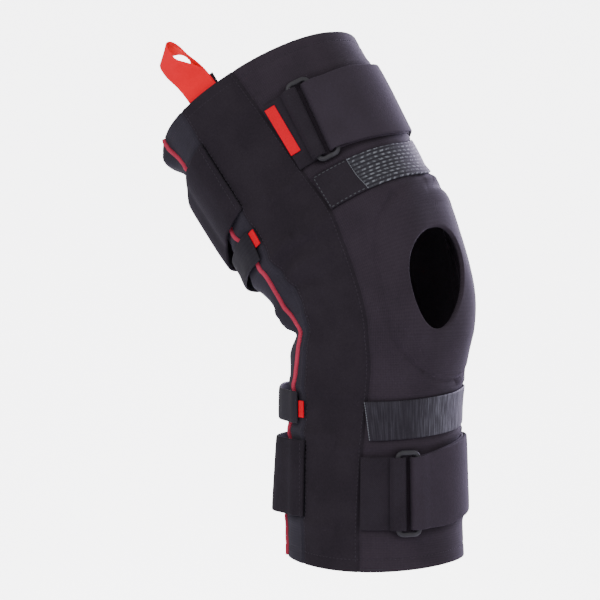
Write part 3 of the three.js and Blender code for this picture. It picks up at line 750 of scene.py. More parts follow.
class Value:
    """A socket of a material's nodes. Arithmetic on it adds Math nodes."""

    def __init__(self, nodes: "Nodes", socket: bpy.types.NodeSocket) -> None:
        """Wraps one socket."""
        self.nodes = nodes
        self.socket = socket

    def math(self, operation: str, first: object, second: object = None) -> "Value":
        """One Math node on one or two values."""
        inputs = {0: first} if second is None else {0: first, 1: second}
        return self.nodes.add("ShaderNodeMath", {"operation": operation}, inputs)

    def __add__(self, other: object) -> "Value":
        """self + other."""
        return self.math("ADD", self, other)

    __radd__ = __add__

    def __sub__(self, other: object) -> "Value":
        """self - other."""
        return self.math("SUBTRACT", self, other)

    def __rsub__(self, other: object) -> "Value":
        """other - self."""
        return self.math("SUBTRACT", other, self)

    def __mul__(self, other: object) -> "Value":
        """self * other."""
        return self.math("MULTIPLY", self, other)

    __rmul__ = __mul__

    def sine(self) -> "Value":
        """Its sine."""
        return self.math("SINE", self)

    def absolute(self) -> "Value":
        """Its size without its sign."""
        return self.math("ABSOLUTE", self)

    def ramp(self, low: float, high: float) -> "Value":
        """0 up to low, 1 from high, and a smooth rise between."""
        settings = {"interpolation_type": "SMOOTHSTEP"}
        inputs = {"Value": self, "From Min": low, "From Max": high}
        return self.nodes.add("ShaderNodeMapRange", settings, inputs)


class Nodes:
    """The nodes of one material."""

    def __init__(self, name: str) -> None:
        """Starts a material with a Principled shader."""
        self.made = bpy.data.materials.new(name)
        self.made.use_nodes = True
        self.tree = self.made.node_tree
        self.shader = self.tree.nodes["Principled BSDF"]

    def add(self, kind: str, settings: dict, inputs: dict, output: object = 0) -> Value:
        """Adds a node.

        Args:
            kind: the node's type.
            settings: its own settings, which are set first.
            inputs: a value or a link for each socket, by name or number.
            output: the socket that comes back.

        Returns:
            The node's output.
        """
        node = self.tree.nodes.new(kind)
        for key, value in settings.items():
            setattr(node, key, value)
        for key, value in inputs.items():
            if isinstance(value, Value):
                self.tree.links.new(value.socket, node.inputs[key])
            else:
                node.inputs[key].default_value = value
        return Value(self, node.outputs[output])

    def place(self) -> Value:
        """Object coordinates in metres."""
        return self.add("ShaderNodeTexCoord", {}, {}, "Object")

    def pattern(self) -> tuple[Value, Value]:
        """Distances along and across the piece's cloth in metres."""
        where = self.add("ShaderNodeTexCoord", {}, {}, "UV")
        parts = self.tree.nodes.new("ShaderNodeSeparateXYZ")
        self.tree.links.new(where.socket, parts.inputs[0])
        return Value(self, parts.outputs["X"]), Value(self, parts.outputs["Y"])

    def noise(self, scale: float, detail: float = 2.0) -> Value:
        """Noise on the object's coordinates, in patches of about a metre over scale."""
        inputs = {"Vector": self.place(), "Scale": scale, "Detail": detail}
        return self.add("ShaderNodeTexNoise", {}, inputs, "Fac")

    def streaks(self, along: Value, across: Value, fine: float, coarse: float) -> Value:
        """Noise in streaks: fine along the cloth and coarse across it."""
        inputs = {"X": along * fine, "Y": across * coarse, "Z": 0.0}
        where = self.add("ShaderNodeCombineXYZ", {}, inputs)
        return self.add("ShaderNodeTexNoise", {}, {"Vector": where, "Scale": 1.0, "Detail": 2.0}, "Fac")

    def mix(self, share: object, low: tuple, high: tuple) -> Value:
        """A colour between two colours."""
        settings = {"data_type": "RGBA"}
        return self.add("ShaderNodeMix", settings, {0: share, 6: low, 7: high}, 2)

    def feed(self, socket: str, value: object) -> None:
        """Sets or links one of the shader's sockets."""
        if isinstance(value, Value):
            self.tree.links.new(value.socket, self.shader.inputs[socket])
        else:
            self.shader.inputs[socket].default_value = value

    def raise_by(self, height: Value, depth: float, strength: float = 1.0) -> None:
        """Feeds a Bump node from a height of 0 to 1, which stands for a depth in metres."""
        inputs = {"Height": height, "Distance": depth, "Strength": strength}
        bumped = self.add("ShaderNodeBump", {}, inputs)
        self.feed("Normal", bumped)


def linear(code: int) -> tuple[float, float, float, float]:
    """A colour code of two digits each for red, green and blue as a shader's colour."""
    shares = [((code >> shift) & 255) / 255 for shift in (16, 8, 0)]
    made = [s / 12.92 if s <= 0.04045 else ((s + 0.055) / 1.055) ** 2.4 for s in shares]
    return made[0], made[1], made[2], 1.0


class Weave(Enum):
    """How a cloth's threads lie, and for some cloths where painted shade or a painted highlight falls on
    them.
    """

    KNIT = "knit"
    BRUSHED = "brushed"
    FADED = "pile_with_painted_shade"
    # Brushed pile, painted darker near the strap's start behind the leg as painted shade.
    DASHED = "dashed"
    STREAKED = "streaked"
    WOVEN = "woven"


@dataclass(frozen=True)
class Finish:
    """A finish: its material's name and a slot name, which the script does not use."""

    name: str
    slot: str

    def material(self) -> bpy.types.Material:
        """The finish's material, made once."""
        found = bpy.data.materials.get(self.name)
        if found is not None:
            return found
        nodes = Nodes(self.name)
        self.dress(nodes)
        return nodes.made

    def dress(self, nodes: Nodes) -> None:
        """Adds the finish's nodes."""
        raise NotImplementedError


@dataclass(frozen=True)
class Cloth(Finish):
    """A cloth: its colours, its weave and the pitch of the weave in metres."""

    dark: int = 0x202020
    light: int = 0x404040
    weave: Weave = Weave.KNIT
    pitch: float = 0.0011
    relief: float = 0.0001
    roughness: float = 0.85
    sheen: float = 0.08
    sheen_tint: int = 0xB8B4C8

    def height(self, nodes: Nodes) -> Value:
        """The weave's height, from 0 to 1, which for some weaves also carries painted shade or a painted
        highlight.
        """
        along, across = nodes.pattern()
        if self.weave is Weave.KNIT:
            return self.knit(along, across)
        if self.weave is Weave.WOVEN:
            return (along * self.turn()).sine() * (across * self.turn()).sine() * 0.5 + 0.5
        if self.weave is Weave.DASHED:
            return self.dashed(nodes, along, across)
        if self.weave is Weave.STREAKED:
            return self.streaked(nodes, along, across)
        return self.pile(nodes)

    def turn(self) -> float:
        """Radians that the weave goes through in a metre."""
        return 2 * math.pi / self.pitch

    def knit(self, along: Value, across: Value) -> Value:
        """Columns of loops that lean from side to side."""
        wales = (across * self.turn()).sine() * 0.5 + 0.5
        lean = (across * self.turn()).sine() * 0.9
        courses = (along * (self.turn() * 0.7) + lean).sine() * 0.5 + 0.5
        return wales * 0.6 + courses * 0.4

    def dashed(self, nodes: Nodes, along: Value, across: Value) -> Value:
        """Cords along a band with rows of greyish dashes from where the band has come to the front; behind
        the leg the band is painted darker and plain, as painted shade.
        """
        begins, full = 0.12, 0.15
        row = across * (self.turn() / 2)
        cord = row.sine().absolute()
        slip = (row * 0.5 + 0.4).sine() * 1.9
        dashes = (along * (self.turn() * 0.5) + slip).sine().ramp(-0.6, 0.2)
        # front is 0 on the band's part behind the leg: painted shade, darker and without dashes there.
        front = along.ramp(begins, full)
        # Random worn patches of the dashes, also held off the painted shade behind the leg.
        worn = nodes.noise(300.0, 2.0).ramp(0.34, 0.62) * front
        return cord * (front * 0.15 + 0.02) + cord.ramp(0.6, 0.95) * dashes * worn * 0.83

    def streaked(self, nodes: Nodes, along: Value, across: Value) -> Value:
        """Fine upright streaks, paler on the inner side, with a painted highlight near the band's front
        end and painted shade that darkens its start behind the leg.
        """
        highlight_from, highlight_to = (0.2, 0.228), (0.262, 0.297)
        inner_from, inner_to = (0.06, 0.1), (0.18, 0.21)
        shaded_to = (0.1, 0.16)
        streaks = nodes.streaks(along, across, 900.0, 60.0).ramp(0.35, 0.75)
        threads = (along * self.turn()).sine() * 0.3 + 0.7
        # A painted highlight: lighter streaks near the band's front end, where light grazes the band.
        painted_highlight = along.ramp(*highlight_from) * (1 - along.ramp(*highlight_to))
        inner = along.ramp(*inner_from) * (1 - along.ramp(*inner_to)) * 0.6
        # Painted shade: the band is darker over its start behind the leg.
        shade = along.ramp(*shaded_to) * 0.8 + 0.2
        return (streaks * threads * (painted_highlight * 0.85 + inner + 0.18) + painted_highlight * 0.18) * shade

    def pile(self, nodes: Nodes) -> Value:
        """Brushed pile in tufts."""
        return nodes.noise(1 / self.pitch, 3.0) * 0.65 + nodes.noise(0.28 / self.pitch, 2.0) * 0.35

    def dress(self, nodes: Nodes) -> None:
        """Adds the cloth's nodes."""
        height = self.height(nodes)
        patches = nodes.noise(38.0, 3.0)
        grain = nodes.noise(900.0, 2.0)
        weave = STRONG_WEAVE if self.weave in (Weave.DASHED, Weave.STREAKED) else SOFT_WEAVE
        unevenness = patches.ramp(0.3, 0.7) * 0.62 + grain.ramp(0.3, 0.7) * 0.38
        share = height * weave + unevenness * (1 - weave)
        # Painted shade: darker and with less weave near the strap's start at the outer back seam, behind
        # the leg.
        if self.weave is Weave.FADED:
            along, _ = nodes.pattern()
            share = share * 0.45 + along.ramp(0.06, 0.14) * 0.5
        nodes.feed("Base Color", nodes.mix(share, linear(self.dark), linear(self.light)))
        nodes.feed("Roughness", patches * 0.12 + (self.roughness - 0.06))
        nodes.feed("Sheen Weight", self.sheen)
        nodes.feed("Sheen Roughness", 0.35)
        nodes.feed("Sheen Tint", linear(self.sheen_tint))
        nodes.feed("Specular IOR Level", 0.08)
        nodes.raise_by(height * 0.7 + grain * 0.3, self.relief)


@dataclass(frozen=True)
class Plastic(Finish):
    """A moulded plastic with fine spark marks and paler worn patches."""

    colour: int = 0x211F24
    worn: int = 0x39383E

    def dress(self, nodes: Nodes) -> None:
        """Adds the plastic's nodes."""
        marks = nodes.noise(2600.0, 2.0)
        patches = nodes.noise(120.0, 3.0)
        share = patches.ramp(0.45, 0.75) * 0.5 + marks * 0.2
        nodes.feed("Base Color", nodes.mix(share, linear(self.colour), linear(self.worn)))
        nodes.feed("Roughness", patches * 0.2 + 0.4)
        nodes.feed("Specular IOR Level", 0.3)
        nodes.raise_by(marks, 0.00004)


@dataclass(frozen=True)
class RedCloth(Cloth):
    """Red woven cloth."""

    weave: Weave = Weave.WOVEN
    pitch: float = 0.0009
    relief: float = 0.00015
    roughness: float = 0.8
    sheen: float = 0.0
    sheen_tint: int = 0xFFB0A8


@dataclass(frozen=True)
class Thread(Cloth):
    """Sewing thread."""

    weave: Weave = Weave.WOVEN
    pitch: float = 0.0006
    relief: float = 0.00008
    roughness: float = 0.7
    sheen: float = 0.1


SMOOTH_CLOTH = Cloth("smooth_stretch_cloth", "smooth_cloth", dark=0x252026, light=0x342D35)
BRUSHED_CLOTH = Cloth(
    "brushed_side_cloth", "brushed_cloth", dark=0x1E1A1F, light=0x2C272D, weave=Weave.BRUSHED,
    pitch=0.0009, relief=0.0003, roughness=0.95, sheen=0.04,
)
STRIP_CLOTH = Cloth("rear_strip_cloth", "strip_cloth", dark=0x242228, light=0x312E36, pitch=0.0012)
# Its weave paints shade over the strap's start behind the leg.
STRAP_CLOTH = Cloth(
    "brushed_strap_cloth", "strap_cloth", dark=0x1B181C, light=0x38313A, weave=Weave.FADED,
    pitch=0.0008, relief=0.0003, roughness=0.92,
)
# Its dark colour also fills the painted shade on the band's part behind the leg.
DASHED_ELASTIC = Cloth(
    "dashed_elastic", "elastic_cloth", dark=0x1D1A20, light=0x707279, weave=Weave.DASHED,
    pitch=0.0028, relief=0.0004, roughness=0.7, sheen=0.02,
)
# Its light colour also serves the painted highlight near the band's front end; its start behind the leg
# carries painted shade.
STREAKED_ELASTIC = Cloth(
    "streaked_elastic", "elastic_cloth", dark=0x221F25, light=0x64636D, weave=Weave.STREAKED,
    pitch=0.0014, relief=0.0003, roughness=0.6,
)
WEBBING = Cloth(
    "black_webbing", "webbing", dark=0x1E1A1F, light=0x2D282F, weave=Weave.WOVEN,
    pitch=0.0012, relief=0.0002, sheen=0.05,
)
RED_CLOTH = RedCloth("red_webbing", "red_cloth", dark=0xC40018, light=0xDC0024)
LOOP_CLOTH = RedCloth("bright_red_webbing", "red_cloth", dark=0xE6041C, light=0xF80A26)
PIPING_CLOTH = RedCloth("red_piping_cord", "red_cloth", dark=0xAC3448, light=0xC04058)
DARK_THREAD = Thread("dark_thread", "webbing", dark=0x282429, light=0x37323A, sheen=0.06)
PALE_THREAD = Thread("pale_thread", "elastic_cloth", dark=0x525358, light=0x6C6D74)
GREY_THREAD = Thread("grey_thread", "webbing", dark=0x38393C, light=0x4E4F54)
RING_PLASTIC = Plastic("moulded_ring_plastic", "ring_plastic")


@dataclass
class Sleeve:
    """The sleeve's cloth panels, from the lower rim to the upper one."""

    wall: float = 3.0
    overlap: float = 0.4
    row_pitch: float = 1.9
    column_pitch: float = 1.3
    crowding: float = 0.55
    ray_pitch: float = 2.6
    rings: int = 66
    border_band: float = 13.0
    border_rings: int = 13
    border_crowding: float = 1.5
    border_samples: int = 200
    width_samples: int = 60
    edge_radius: float = 0.5
    lip_bulge: float = 1.0
    lip_steps: int = 7
    back_steps: int = 24
    edge_depths: tuple[float, ...] = (0.85, 0.5, 0.15, 0.0)
    flat_length: float = 0.34
    back_flat: float = 0.12
    front_flat: tuple[float, float] = (0.15, 0.35)

    def build(self) -> None:
        """Builds and dresses every panel."""
        self.front()
        for side, word in ((1, "outer"), (-1, "inner")):
            names = (f"{word}_side_cloth", f"{word}_side_panel")
            self.side_piece(names, side, ("front", "back"), BRUSHED_CLOTH)
            names = (f"{word}_rear_cloth", f"{word}_rear_strip")
            self.side_piece(names, side, ("back", "piping"), STRIP_CLOTH)
        back = self.panel(
            "back_cloth",
            lambda station: LEG.seam("piping", station),
            lambda station: FULL_TURN - LEG.seam("piping", station),
        )
        settle(back, ["back_panel"], STRIP_CLOTH)

    def side_piece(self, names: tuple[str, str], side: int, seams: tuple[str, str], finish: Cloth) -> None:
        """A panel between two seams of one side.

        Args:
            names: the piece's name and its node's.
            side: 1 for the outer side and -1 for the inner.
            seams: names of the seams at its front and its back.
            finish: its cloth.
        """
        name, node = names
        near, far = seams

        def low(station: np.ndarray) -> np.ndarray:
            """Turn of the panel's edge at the lower turn."""
            return LEG.seam(near, station) if side > 0 else -LEG.seam(far, station)

        def high(station: np.ndarray) -> np.ndarray:
            """Turn of the panel's edge at the higher turn."""
            return LEG.seam(far, station) if side > 0 else -LEG.seam(near, station)

        piece = self.panel(name, low, high)
        width = float(self.widths(low, high).mean()) * MM
        settle(piece, [node], finish)

    def widths(self, low: Callable, high: Callable) -> np.ndarray:
        """Widths of a panel between two seams, at even stations."""
        stations = np.linspace(-LEG.calf_length, LEG.thigh_length, self.width_samples)
        return np.radians(high(stations) - low(stations)) * LEG.reach(stations, low(stations))

    def panel(self, name: str, low: Callable, high: Callable) -> bpy.types.Object:
        """A panel between two seams.

        Args:
            name: the piece's name.
            low: takes stations and gives the turns of the edge at the lower turn.
            high: the same for the other edge.

        Returns:
            The closed panel.
        """
        full = LEG.calf_length + LEG.thigh_length
        rows = math.ceil(full / self.row_pitch)
        columns = math.ceil(float(self.widths(low, high).max()) / self.column_pitch)

        def place(up: np.ndarray, across: np.ndarray) -> tuple[Points, np.ndarray]:
            """Points of the panel's outer face, closer together beside its seams."""
            across = (1 - self.crowding) * across + self.crowding * smooth_step(0, 1, across)
            station = -LEG.calf_length + up * full
            for _ in range(2):
                past = LEG.turn_of(self.overlap / 2, station, low(station))
                turn = high(station) + past + (low(station) - high(station) - 2 * past) * across
                station = LEG.foot(turn) + up * (LEG.rim(turn) - LEG.foot(turn))
            points = sleeve_skin(station, turn, 0)
            return points, np.stack([station, np.radians(turn) * LEG.knee_radius], axis=-1)

        piece = grid_piece(name, rows, columns, place)
        thicken(piece, self.wall, -1.0, self.edge_radius)
        return piece

    def border(self) -> tuple[np.ndarray, np.ndarray]:
        """Places of the front panel's border, counted around it from its edge beside the hole."""
        steps, ones = np.linspace(0, 1, self.border_samples), np.ones(self.border_samples)
        top, middle, bottom = LEG.thigh_length, HOLE.station, -LEG.calf_length
        runs = (
            (middle + (top - middle) * steps, -ones),
            (top * ones, 2 * steps - 1),
            (top + (bottom - top) * steps, ones),
            (bottom * ones, 1 - 2 * steps),
            (bottom + (middle - bottom) * steps, -ones),
        )
        picked_stations, picked_turns = [], []
        for station, side in runs:
            seam = LEG.seam("front", station)
            turn = side * (seam + LEG.turn_of(self.overlap / 2, station, seam))
            above = station / top * LEG.rim(turn)
            below = station / bottom * LEG.foot(turn)
            station = np.where(station > 0, above, below)
            points = LEG.skin(station, turn, 0)
            length = np.concatenate([[0], np.cumsum(np.linalg.norm(np.diff(points, axis=0), axis=1))])
            count = math.ceil(length[-1] / self.ray_pitch)
            marks = np.linspace(0, length[-1], count + 1)[:-1]
            picked_stations.append(np.interp(marks, length, station))
            picked_turns.append(np.interp(marks, length, turn))
        return np.concatenate(picked_stations), np.concatenate(picked_turns)

    def front(self) -> None:
        """The front panel: one ring of cloth around the kneecap hole, out to its border."""
        border_station, border_turn = self.border()
        rays = len(border_station)
        up = (border_station - HOLE.station) / HOLE.half_station()
        across = (border_turn - HOLE.turn + HOLE.lean * up) / HOLE.half_turn()
        hole_station, hole_turn = HOLE.edge(np.arctan2(up, across))
        far = LEG.skin(border_station, border_turn, 0)
        reach = np.linalg.norm(far - LEG.skin(hole_station, hole_turn, 0), axis=1)

        fine = self.border_band * np.linspace(0, 1, self.border_rings) ** self.border_crowding
        outer = np.concatenate([fine, np.full(self.rings, self.border_band)])
        inward = np.concatenate([np.zeros(self.border_rings), np.linspace(0, 1, self.rings + 1)[1:]])
        lip = np.linspace(0, math.pi, self.lip_steps + 2)[1:-1]
        back = np.linspace(1, 0, self.back_steps)
        edge = np.array(self.edge_depths)
        shares = [(1 - outer / length) * (1 - inward) for length in reach]
        table = np.array([
            np.concatenate([row, np.zeros(len(lip)), 1 - back, np.ones(len(edge))]) for row in shares
        ])
        depth = np.concatenate([
            np.zeros(len(outer)), self.wall / 2 * (1 - np.cos(lip)), np.full(len(back), self.wall),
            self.wall * edge,
        ])
        bulge = np.concatenate([
            np.zeros(len(outer)), self.lip_bulge * np.sin(lip), np.zeros(len(back) + len(edge))
        ])

        def place(run: np.ndarray, through: np.ndarray) -> tuple[Points, np.ndarray]:
            """Points around the panel's closed profile, ray by ray."""
            ray = np.rint(run * rays).astype(int) % rays
            step = np.rint(through * (len(depth) - 1)).astype(int)
            share = table[ray, step]
            near = 1 - bulge[step] / (HOLE.width / 2)
            station = HOLE.station + (hole_station[ray] - HOLE.station) * near
            turn = HOLE.turn + (hole_turn[ray] - HOLE.turn) * near
            station = station * (1 - share) + border_station[ray] * share
            turn = turn * (1 - share) + border_turn[ray] * share
            points = sleeve_skin(station, turn, -depth[step])
            return points, np.stack([station, np.radians(turn) * LEG.knee_radius], axis=-1)

        piece = grid_piece("front_cloth", rays, len(depth) - 1, place)
        apply_modifier(piece, "WELD", merge_threshold=WELD_GAP)
        face_outwards(piece)
        smooth(piece)
        settle(piece, ["front_panel"], SMOOTH_CLOTH)


@dataclass
class Piping:
    """The red cords on the seams of the back panel."""

    radius: float = 1.55
    lift: float = 1.1
    short: float = 0.6
    steps: int = 170

    def build(self) -> None:
        """Builds and dresses both cords."""
        for side, word in ((1, "outer"), (-1, "inner")):
            top = float(LEG.rim(side * LEG.seam("piping", LEG.thigh_length)))
            bottom = float(LEG.foot(side * LEG.seam("piping", -LEG.calf_length)))
            stations = np.linspace(bottom + self.short, top - self.short, self.steps)
            turns = side * LEG.seam("piping", stations)
            line = sleeve_skin(stations, turns, self.lift)
            settle(tube_piece(f"{word}_red_piping", line, self.radius), [f"{word}_piping"], PIPING_CLOTH)


def path_length(station: float, turns: np.ndarray, lifts: np.ndarray) -> float:
    """Length of a path around the leg in millimetres."""
    points = LEG.skin(np.full(len(turns), station), turns, lifts)
    return float(np.linalg.norm(np.diff(points, axis=0), axis=1).sum())


@dataclass
class StrapSet:
    """A wide strap, the oblong ring that it passes through and the webbing that holds the ring."""

    word: str
    band: Band
    ring_turn: float
    ring_length: float
    ring_width: float = 16.6
    bar: float = 3.2
    ring_thickness: float = 2.4
    corner: float = 5.0
    gap: float = 0.3
    layer_gap: float = 0.6
    webbing: float = 1.7
    slack: float = 1.5
    slot_play: float = 2.4
    double_gap: float = 0.35
    flap: float = 6.6
    flap_gap: float = 0.2
    start_before: float = 1.5
    overlap: float = 100.0
    lead: float = 2.0
    leaves_ring: float = 12.0
    narrows: float = 30.0
    levels: float = 40.0
    tilt: float = 0.0
    turn_pitch: float = 1.4

    def degrees(self, length: float) -> float:
        """A length around the leg at the ring as degrees of turn."""
        return float(LEG.turn_of(length, self.band.station, self.ring_turn))

    def ring_lift(self) -> float:
        """Lift of the ring's middle."""
        return self.layer_gap + self.band.thickness + self.gap + self.ring_thickness / 2

    def slot_length(self) -> float:
        """Width of the cloth that passes through the ring's slot."""
        return self.ring_length - 2 * self.bar - self.slot_play

    def around_bar(self, turn: float, bend: float, direction: int) -> tuple[np.ndarray, np.ndarray]:
        """Turns and lifts of a half circle from under a bar to over it."""
        angle = np.linspace(0, math.pi, 17)
        across = direction * bend * np.sin(angle)
        return turn + self.degrees(1.0) * across, self.ring_lift() - bend * np.cos(angle)

    def build(self) -> None:
        """Builds and dresses the strap, the ring and the webbing."""
        self.strap()
        self.ring()
        self.anchor()

    def strap(self) -> None:
        """From the outer back seam round the leg, through the ring and back over itself."""
        band = self.band
        seam = float(LEG.seam("back", band.station))
        half = self.ring_width / 2 - self.bar + self.ring_thickness / 2 - self.slack
        bar_turn = FULL_TURN + self.ring_turn - self.degrees(half)
        bend = self.ring_thickness / 2 + self.gap + band.thickness / 2
        start = float(LEG.seam("back", band.middle(np.array(seam)))) - self.start_before
        count = math.ceil((bar_turn - start) / self.turn_pitch)
        first = np.linspace(start, bar_turn - self.lead, count)
        bar_turns, bar_lifts = self.around_bar(bar_turn, bend, 1)
        count = math.ceil(self.overlap / self.turn_pitch)
        over = np.linspace(bar_turn - self.lead, bar_turn - self.overlap, count)
        settled = smooth_step(self.lead, self.leaves_ring, bar_turn - over)
        second = band.lift(over, seam) + band.thickness + self.double_gap
        over_lift = (self.ring_lift() + bend) * (1 - settled) + second * settled
        turns = np.concatenate([first, bar_turns, over])
        lifts = np.concatenate([band.lift(first, seam), bar_lifts, over_lift])

        def edges(turn: np.ndarray) -> tuple[np.ndarray, np.ndarray]:
            """Stations of the strap's edges, drawn in where it enters the ring."""
            near = 1 - smooth_step(0, self.narrows, bar_turn - turn)
            width = band.width_at(turn) + (self.slot_length() - band.width) * near
            middle = band.middle(turn)
            return middle - width / 2, middle + width / 2

        flare = band.flare * band.away(turns)
        slant = self.degrees(self.tilt) * (1 - smooth_step(0, self.levels, bar_turn - turns))
        piece = ribbon_piece(
            f"{self.word}_strap_cloth", (turns, lifts), edges, band.thickness, flare=flare, slant=slant
        )
        settle(piece, [f"{self.word}_strap"], STRAP_CLOTH)
        length = path_length(band.station, turns, lifts)
        band.width * MM

    def ring(self) -> None:
        """The moulded ring, bent to the leg."""
        deselect_all()
        bpy.ops.mesh.primitive_torus_add(
            major_segments=112, minor_segments=16, major_radius=2.0, minor_radius=1.0
        )
        piece = named(bpy.context.object, f"{self.word}_oblong_ring")
        spots = points_of(piece.data)
        around = np.arctan2(spots[:, 1], spots[:, 0]) % (2 * math.pi)
        through = np.arctan2(spots[:, 2], np.hypot(spots[:, 0], spots[:, 1]) - 2)
        half_length = self.ring_length / 2 - self.corner
        half_width = self.ring_width / 2 - self.corner
        radius = self.corner - self.bar / 2
        dense = np.linspace(0, 2 * math.pi, 721)
        turned = np.round(dense / (math.pi / 2) - 0.5) * (math.pi / 2) + math.pi / 4
        outline = np.stack(
            [np.sign(np.cos(turned)) * half_width + radius * np.cos(dense),
             np.sign(np.sin(turned)) * half_length + radius * np.sin(dense)], axis=-1
        )
        length = np.concatenate([[0], np.cumsum(np.linalg.norm(np.diff(outline, axis=0), axis=1))])
        mark = around / (2 * math.pi) * length[-1]
        angle = np.interp(mark, length, dense)
        across = np.interp(mark, length, outline[:, 0])
        along = np.interp(mark, length, outline[:, 1])
        soft = 0.8
        out = self.bar / 2 * np.sign(np.cos(through)) * np.abs(np.cos(through)) ** soft
        rise = self.ring_thickness / 2 * np.sign(np.sin(through)) * np.abs(np.sin(through)) ** soft
        across, along = across + out * np.cos(angle), along + out * np.sin(angle)
        turn = self.ring_turn - self.degrees(1.0) * across + self.degrees(self.tilt) * along
        points = LEG.skin(self.band.station + along, turn, self.ring_lift() + rise)
        move_points(piece.data, points, np.stack([mark, rise], axis=-1))
        smooth(piece)
        settle(piece, [f"{self.word}_ring"], RING_PLASTIC)

    def anchor(self) -> None:
        """Webbing from the front seam, round the ring's far bar and back over itself to a short flap."""
        station = self.band.station
        seam = float(LEG.seam("front", station))
        end = seam - float(LEG.turn_of(self.gap, station, seam))
        bend = self.ring_thickness / 2 + self.gap + self.webbing / 2
        low = self.layer_gap + self.webbing / 2
        high = low + self.webbing + self.flap_gap
        half = self.ring_width / 2 - self.bar + self.ring_thickness / 2 - self.slack
        bar_turn = self.ring_turn + self.degrees(half)
        past = self.degrees(self.bar + self.slack - 1.0)
        flap = self.degrees(self.flap)
        bar_turns, bar_lifts = self.around_bar(bar_turn, bend, -1)
        under = np.linspace(end, bar_turn + 0.5, 24)
        over = np.linspace(bar_turn + 0.5, bar_turn + flap, 14)
        risen = 1 - smooth_step(past, flap, over - bar_turn)
        over_lift = high + (self.ring_lift() + bend - high) * risen
        raised = 1 - smooth_step(past, flap, under - bar_turn)
        under_lift = low + (max(low, self.ring_lift() - bend) - low) * raised
        turns = np.concatenate([under, bar_turns, over])
        lifts = np.concatenate([under_lift, bar_lifts, over_lift])
        half_slot = self.slot_length() / 2

        def edges(turn: np.ndarray) -> tuple[np.ndarray, np.ndarray]:
            """Stations of the webbing's edges."""
            return np.full(len(turn), station - half_slot), np.full(len(turn), station + half_slot)

        slant = self.degrees(self.tilt) * np.clip((end - turns) / (end - bar_turn), 0, 1)
        name = f"{self.word}_anchor_webbing"
        piece = ribbon_piece(name, (turns, lifts), edges, self.webbing, slant=slant)
        settle(piece, [f"{self.word}_ring_anchor"], WEBBING)
        flat = (2 * half_slot * MM, path_length(station, turns, lifts) * MM)


def patch_piece(
    name: str, station: float, turn: float, size: tuple[float, float], lift: float, thickness: float
) -> bpy.types.Object:
    """A flat piece of cloth on the sleeve.

    Args:
        name: the piece's name.
        station: station of its middle.
        turn: turn of its middle.
        size: its length along the leg and its width around it.
        lift: lift of its inner face.
        thickness: millimetres.

    Returns:
        The closed piece.
    """
    length, width = size
    half = float(LEG.turn_of(width / 2, station, turn))

    def place(up: np.ndarray, across: np.ndarray) -> tuple[Points, np.ndarray]:
        """Points of the patch's middle face."""
        stations = station + (up - 0.5) * length
        turns = turn + half * (1 - 2 * across)
        points = LEG.skin(stations, turns, lift + thickness / 2)
        return points, np.stack([up * length, across * width], axis=-1)

    rows, columns = math.ceil(length / PATCH_PITCH), max(3, math.ceil(width / PATCH_PITCH))
    piece = grid_piece(name, rows, columns, place)
    thicken(piece, thickness, 0.0, thickness * PATCH_EDGE)
    return piece


def sew_on(piece: bpy.types.Object, size: tuple[float, float]) -> None:
    """Reads a small piece's length and width, and does nothing with them.

    Args:
        piece: the settled piece; not used.
        size: its length and width in millimetres.
    """
    size[1] * MM
    size[0] * MM


def seam_end(name: str, length: float, station: float) -> float:
    """The turn a length short of a seam of the outer side."""
    seam = float(LEG.seam(name, station))
    return seam - float(LEG.turn_of(length, station, seam))


@dataclass
class ElasticBands:
    """The two woven elastic bands and the tab that fastens the upper one."""

    gap: float = 0.3
    layer_gap: float = 0.6
    hook_length: float = 25.0
    hook_thickness: float = 1.4
    tab_shift: float = 5.0
    slant_turns: float = 25.0
    turn_pitch: float = 1.2
    face_pitch: float = 1.2

    def build(self) -> None:
        """Builds and dresses the bands and the tab."""
        station = UPPER_ELASTIC.station
        far = seam_end("front", self.gap, station)
        hook = float(LEG.turn_of(self.hook_length, station, far))
        gap = float(LEG.turn_of(self.gap, station, far))
        self.band("upper", UPPER_ELASTIC, far - hook - gap, 0.0, DASHED_ELASTIC)
        end = seam_end("front", self.gap, LOWER_ELASTIC.station)
        self.band("lower", LOWER_ELASTIC, end, LOWER_END_SLANT, STREAKED_ELASTIC)
        size = (UPPER_ELASTIC.width, self.hook_length)
        middle = far - hook / 2
        tab = patch_piece("hook_tab_cloth", station, middle, size, self.layer_gap, self.hook_thickness)
        sew_on(settle(tab, ["upper_hook_tab"], WEBBING), size)

    def band(self, word: str, band: Band, end: float, end_slant: float, finish: Cloth) -> None:
        """A band from the outer back seam round the leg to its front end.

        Args:
            word: which band it is, for its names.
            band: its course.
            end: turn of its front end.
            end_slant: degrees of turn that a millimetre above its middle adds at that end.
            finish: its cloth.
        """
        seam = float(LEG.seam("back", band.station))
        start = seam + float(LEG.turn_of(self.gap + self.tab_shift, band.station, seam))
        stop = FULL_TURN + end
        turns = np.linspace(start, stop, math.ceil((stop - start) / self.turn_pitch))

        def edges(turn: np.ndarray) -> tuple[np.ndarray, np.ndarray]:
            """Stations of the band's edges."""
            middle, width = band.middle(turn), band.width_at(turn)
            return middle - width / 2, middle + width / 2

        lifts = band.lift(turns, seam)
        slant = end_slant * smooth_step(stop - self.slant_turns, stop, turns)
        piece = ribbon_piece(
            f"{word}_elastic", (turns, lifts), edges, band.thickness, pitch=self.face_pitch, slant=slant
        )
        settle(piece, [f"{word}_elastic_band"], finish)
        length = path_length(band.station, turns, lifts)
        band.width * MM


